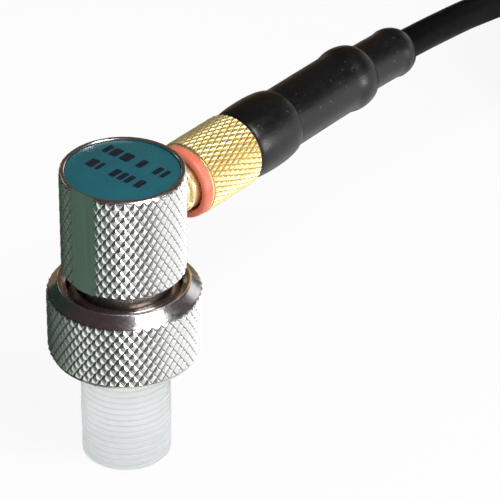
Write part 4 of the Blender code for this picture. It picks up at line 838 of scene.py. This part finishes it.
bpy.ops.mesh.primitive_cylinder_add(vertices=48, radius=JACK_HOLE_RADIUS, depth=3.0 * MM,
                                    location=(JACK_HOLE_X, 0.0, JACK_Z),
                                    rotation=(0.0, math.radians(90.0), 0.0))
drill = bpy.context.object
bpy.context.view_layer.objects.active = case
hole = case.modifiers.new("jack_hole", 'BOOLEAN')
hole.operation = 'DIFFERENCE'
hole.solver = 'EXACT'
hole.object = drill
bpy.ops.object.modifier_apply(modifier="jack_hole")
bpy.data.objects.remove(drill, do_unlink=True)
milled, tree, shader = shader_tree("milled_flat")
shader.inputs["Metallic"].default_value = 1.0
mottled(tree, shader, 2200.0, (0.70, 0.72, 0.70), (0.86, 0.87, 0.85), (1.0, 1.0, 0.06))
uneven_gloss(tree, shader, 5000.0, 0.18, 0.34, (1.0, 1.0, 0.05))
dress(case, None, "stainless_steel", "transducer", "case")
case.data.materials.append(milled)
for polygon in case.data.polygons:
    if polygon.normal.x < -0.999 and abs(polygon.center.x - FLAT_X) < 0.001 * MM:
        polygon.material_index = len(case.data.materials) - 1
        polygon.use_smooth = False


# Label. A thin glossy blue-green disc, glued in just below the rim of the head and printed with
# two rows of plain dark bars.

LABEL_TOP = 26.77               # in mm, as in outlines
BAR_LENGTH = 1.15 * MM
BAR_HEIGHT = 0.02 * MM

label_gloss, tree, shader = shader_tree("label_gloss")
shader.inputs["Coat Weight"].default_value = 0.25
shader.inputs["Coat Roughness"].default_value = 0.08
mottled(tree, shader, 500.0, (0.010, 0.115, 0.145), (0.013, 0.135, 0.168))
uneven_gloss(tree, shader, 900.0, 0.22, 0.32)
label = lathe("label_plate", [
    (0.0, LABEL_TOP), (4.48, LABEL_TOP), (4.54, 26.75), (4.57, 26.69), (4.57, 26.37),
    (0.0, 26.37)], 96)
dress(label, label_gloss, "blue_label", "transducer", "label_disc")

ink, tree, shader = shader_tree("label_ink")
mottled(tree, shader, 4000.0, (0.006, 0.009, 0.022), (0.012, 0.020, 0.040))
uneven_gloss(tree, shader, 900.0, 0.30, 0.42)
# x, y and width of each bar in mm
print_marks = [(-0.66, -2.35, 0.62), (-0.66, -1.30, 0.50), (-0.66, -0.60, 0.50),
               (-0.66, 0.18, 0.62), (-0.66, 1.75, 0.36), (-0.66, 2.55, 0.78),
               (1.70, -2.95, 0.42), (1.70, -2.20, 0.52), (1.70, -0.55, 0.62),
               (1.70, 1.00, 0.92), (1.70, 2.15, 0.80), (1.70, 3.00, 0.50)]
bars = []
for x, y, width in print_marks:
    bpy.ops.mesh.primitive_plane_add(size=1.0,
                                     location=(x * MM, y * MM, (LABEL_TOP - 0.005) * MM))
    bar = bpy.context.object
    bar.scale = (BAR_LENGTH, width * MM, 1.0)
    bars.append(bar)
for bar in bars:
    bar.select_set(True)
bpy.ops.object.transform_apply(location=True, rotation=False, scale=True)
bpy.ops.object.join()
printing = bpy.context.object
printing.name = "label_print"
bpy.ops.object.mode_set(mode='EDIT')
bpy.ops.mesh.select_all(action='SELECT')
bpy.ops.mesh.bevel(offset=0.12 * MM, segments=2, affect='VERTICES')
bpy.ops.mesh.select_all(action='SELECT')
bpy.ops.mesh.extrude_region_move(TRANSFORM_OT_translate={"value": (0.0, 0.0, BAR_HEIGHT)})
bpy.ops.mesh.select_all(action='SELECT')
bpy.ops.mesh.normals_make_consistent(inside=False)
bpy.ops.object.mode_set(mode='OBJECT')
dress(printing, ink, "blue_label", "transducer")


# Retaining ring. Stainless steel, diamond-knurled, with a polished cone running up to a thin
# lip and a shallow dish inside it; it turns on the shank and clamps the delay line's flange.

RING_ROOT = 6.155               # in mm, as HEAD_ROOT
RING_TEETH = 51

ring_band = knurled_band("ring_shell", RING_ROOT * MM, RING_TEETH, 10, 10.27 * MM, 15.77 * MM,
                         0.16 * MM, 0.145 * MM)
ring_core = lathe("ring_core", [
    (RING_ROOT, 15.81), (6.02, 15.93), (5.46, 16.57), (5.41, 16.62), (5.34, 16.65), (5.26, 16.66),
    (5.19, 16.64), (5.12, 16.60), (4.74, 16.42), (4.68, 16.36), (4.66, 16.28), (4.66, 15.76),
    (4.58, 15.66), (4.58, 11.12), (3.78, 11.12), (3.78, 10.12),
    (3.93, 9.97), (5.97, 9.97), (6.08, 10.02), (RING_ROOT, 10.23)], RING_TEETH,
    closed=False)
# Painted shade: the knurled ring steel is painted dark in the knurl's valleys, and the cone steel
# darker in the bore and dish inside the lip.
ring_steel = grooved_metal("knurled_ring_steel", (0.86, 0.86, 0.85), (0.94, 0.94, 0.93),
                           (0.20, 0.185, 0.17), RING_ROOT + 0.005, RING_ROOT + 0.055,
                           (0.20, 0.32))
cone_steel = grooved_metal("cone_steel", (0.70, 0.69, 0.67), (0.80, 0.79, 0.78),
                           (0.34, 0.29, 0.26), 4.60, 4.80, (0.16, 0.24))
ring_band.data.materials.append(ring_steel)
ring_core.data.materials.append(cone_steel)
ring = join_ends(ring_band, ring_core, (15.79, 10.25))
dress(ring, None, "stainless_steel", "retaining_ring", "retaining_ring")


# Side jack. A turned, gold-plated jack of the miniature coaxial kind, pressed into the hole in
# the head's wall.

jack = lathe("jack_shell", [
    (2.26, 11.25), (2.41, 11.1), (2.41, 8.5), (2.25, 8.3), (2.25, 6.21), (2.11, 6.07),
    (1.85, 6.07), (1.85, 3.6), (1.25, 3.6), (1.25, 8.2), (1.5, 8.2), (1.5, 11.25)], 64, 0.04)
dress(onto_axis(jack, 0.0, JACK_Z), gold, "gold_plate", "transducer", "jack_body")


# Coupling nut. Gold-plated, diamond-knurled, loose on the plug behind its flange; a soft red
# gasket stands out of its mouth and turns with it.

NUT_ROOT = 3.08                 # in mm, as HEAD_ROOT
NUT_TEETH = 41

nut_band = knurled_band("nut_shell", NUT_ROOT * MM, NUT_TEETH, 10, 7.69 * MM, 13.67 * MM,
                        0.10 * MM, 0.09 * MM)
nut_core = lathe("nut_core", [
    (NUT_ROOT, 13.71), (3.00, 13.80), (2.94, 13.83), (1.98, 13.83), (1.98, 12.53), (2.49, 12.53),
    (2.49, 8.33), (2.93, 8.33), (2.93, 7.53), (2.98, 7.53), (3.04, 7.57), (NUT_ROOT, 7.65)],
    NUT_TEETH, closed=False)
# Painted shade and painted reflection: the knurl's valleys are painted a dark warm brown, as from
# light bouncing between the gold facets.
nut_gold = grooved_metal("knurled_gold", (0.98, 0.79, 0.33), (1.0, 0.90, 0.47),
                         (0.50, 0.27, 0.08), NUT_ROOT + 0.005, NUT_ROOT + 0.045,
                         (0.30, 0.42), JACK_Z, metallic=0.80)
nut_band.data.materials.append(nut_gold)
nut_core.data.materials.append(gold)
nut = join_ends(nut_band, nut_core, (13.69, 7.67))
dress(onto_axis(nut, 0.0, JACK_Z), None, "gold_plate", "coupling_nut", "coupling_nut")

nose = [(2.77 + 0.31 * math.cos(math.radians(a)), 6.63 + 0.42 * (1 - math.sin(math.radians(a))))
        for a in (0, 15, 30, 45, 60, 75, 90)]
seal = lathe("nut_seal", [(2.88, 8.28), (2.88, 7.47), (3.08, 7.47)] + nose
             + [(2.58, 6.67), (2.52, 6.75), (2.5, 6.93), (2.5, 8.28)], 72)
dress(onto_axis(seal, 0.0, JACK_Z), red_seal, "red_silicone", "coupling_nut", "nut_gasket")


# Shrink sleeves. Three black heat-shrunk sleeves, one over another, from the crimp along the
# lead; the outer one is barrel-shaped and the other two end in a slightly swollen, rounded lip.

OUTER_END = 19.5                # in mm, as in outlines
MIDDLE_END = 30.6


def hang(obj):
    """Let a piece on the jack's axis droop along the lead's line, ring by ring."""
    bpy.ops.object.mode_set(mode='EDIT')
    places = sorted({round(vert.co.x, 6) for vert in obj.data.vertices
                     if vert.co.x > DROOP_START})
    for place in places:
        mesh = bmesh.from_edit_mesh(obj.data)
        for vert in mesh.verts:
            vert.select = abs(vert.co.x - place) < 0.0006 * MM
        mesh.select_flush(True)
        bmesh.update_edit_mesh(obj.data)
        bpy.ops.transform.translate(value=(0.0, 0.0, -drop(place)))
    bpy.ops.object.mode_set(mode='OBJECT')


sleeve_black, tree, shader = shader_tree("shrink_sleeve_look")
shader.inputs["Specular IOR Level"].default_value = 0.42
rubber = mottled(tree, shader, 700.0, (0.003, 0.003, 0.0035), (0.006, 0.006, 0.007))
coords = tree.nodes.new("ShaderNodeTexCoord")
grains = tree.nodes.new("ShaderNodeTexNoise")
grains.inputs["Scale"].default_value = 2600.0
grains.inputs["Detail"].default_value = 1.0
dust = tree.nodes.new("ShaderNodeMapRange")
dust.inputs["From Min"].default_value = 0.70
dust.inputs["From Max"].default_value = 0.78
dusted = tree.nodes.new("ShaderNodeMix")
dusted.data_type = 'RGBA'
dusted.inputs["B"].default_value = (0.05, 0.05, 0.053, 1.0)
tree.links.new(coords.outputs["Object"], grains.inputs["Vector"])
tree.links.new(grains.outputs["Fac"], dust.inputs["Value"])
tree.links.new(dust.outputs[0], dusted.inputs["Factor"])
tree.links.new(rubber.outputs["Color"], dusted.inputs["A"])
tree.links.new(dusted.outputs["Result"], shader.inputs["Base Color"])
uneven_gloss(tree, shader, 900.0, 0.28, 0.40, (1.0, 3.0, 3.0))
fine_relief(tree, shader, 1800.0, 0.02 * MM, (0.5, 2.0, 2.0))
fine_relief(tree, shader, 9000.0, 0.004 * MM)


def lip(full, tip, end, length):
    """Quarter-oval end of a shrunk sleeve."""
    return [(tip + (full - tip) * math.sin(math.radians(a)),
             end - length * (1 - math.cos(math.radians(a)))) for a in range(0, 91, 10)]


def between(radius, start, end, spacing=1.5):
    """Evenly spaced points of a straight wall."""
    parts = max(1, round(abs(end - start) / spacing))
    return [(radius, start + (end - start) * k / parts) for k in range(parts + 1)]


outer = lathe("outer_sleeve", lip(3.19, 2.77, OUTER_END, 2.6) + [
    (3.185, 16.3), (3.165, 15.7), (3.13, 15.2), (3.08, 14.75), (3.02, 14.4), (2.95, 14.14),
    (2.88, 14.02), (2.81, 13.98), (2.73, 14.04), (2.73, OUTER_END)], 72)
middle = lathe("middle_sleeve", lip(2.88, 2.27, MIDDLE_END, 1.7) + [
    (2.87, 28.7), (2.83, 28.4), (2.76, 28.1), (2.70, 27.8)]
               + between(2.68, 27.2, 14.33) + [(2.30, 14.33), (2.30, 18.1)]
               + between(2.19, 18.1, MIDDLE_END), 72)
inner = lathe("inner_sleeve", lip(2.25, 1.53, SLEEVE_MOUTH / MM, 1.5)
              + [(2.22, 35.3), (2.17, 34.95)] + between(2.15, 34.6, 18.15)
              + between(1.43, 18.15, SLEEVE_MOUTH / MM), 64)
for piece, node in ((outer, "boot_outer"), (middle, "boot_middle"), (inner, "boot_inner")):
    onto_axis(piece, 0.0, JACK_Z)
    hang(piece)
    dress(piece, sleeve_black, "black_shrink_sleeve", "transducer", node)


# Inside pieces. The sound-making stack, its wires and the jack's and plug's inner pieces keep
# their plain solids, in their own materials.

def plain_look(name, dark, light, metallic, rough, scale=1500.0):
    """A slightly uneven material for a hidden piece."""
    mat, tree, shader = shader_tree(name)
    shader.inputs["Metallic"].default_value = metallic
    mottled(tree, shader, scale, dark, light)
    uneven_gloss(tree, shader, scale * 2, rough * 0.8, rough * 1.2)
    return mat


inside = {
    "wear_plate": plain_look("matching_look", (0.30, 0.31, 0.33), (0.38, 0.39, 0.41), 0.0, 0.5),
    "piezo_element": plain_look("ceramic_look", (0.50, 0.45, 0.34), (0.58, 0.53, 0.41), 0.0, 0.6),
    "backing": plain_look("backing_look", (0.07, 0.07, 0.08), (0.12, 0.12, 0.13), 0.0, 0.7),
    "insulating_sleeve": white_plastic,
    "potting": plain_look("potting_look", (0.025, 0.025, 0.03), (0.04, 0.04, 0.045), 0.0, 0.35),
    "signal_wire": plain_look("copper_look", (0.72, 0.36, 0.20), (0.84, 0.46, 0.28), 1.0, 0.3),
    "jack_insulator": white_plastic, "plug_insulator": white_plastic,
    "jack_contact": gold, "plug_pin": gold, "plug_body": gold, "crimp_ferrule": gold,
}
inside["ground_wire"] = inside["signal_wire"]
for node, look in inside.items():
    bpy.data.objects[node].data.materials[0] = look
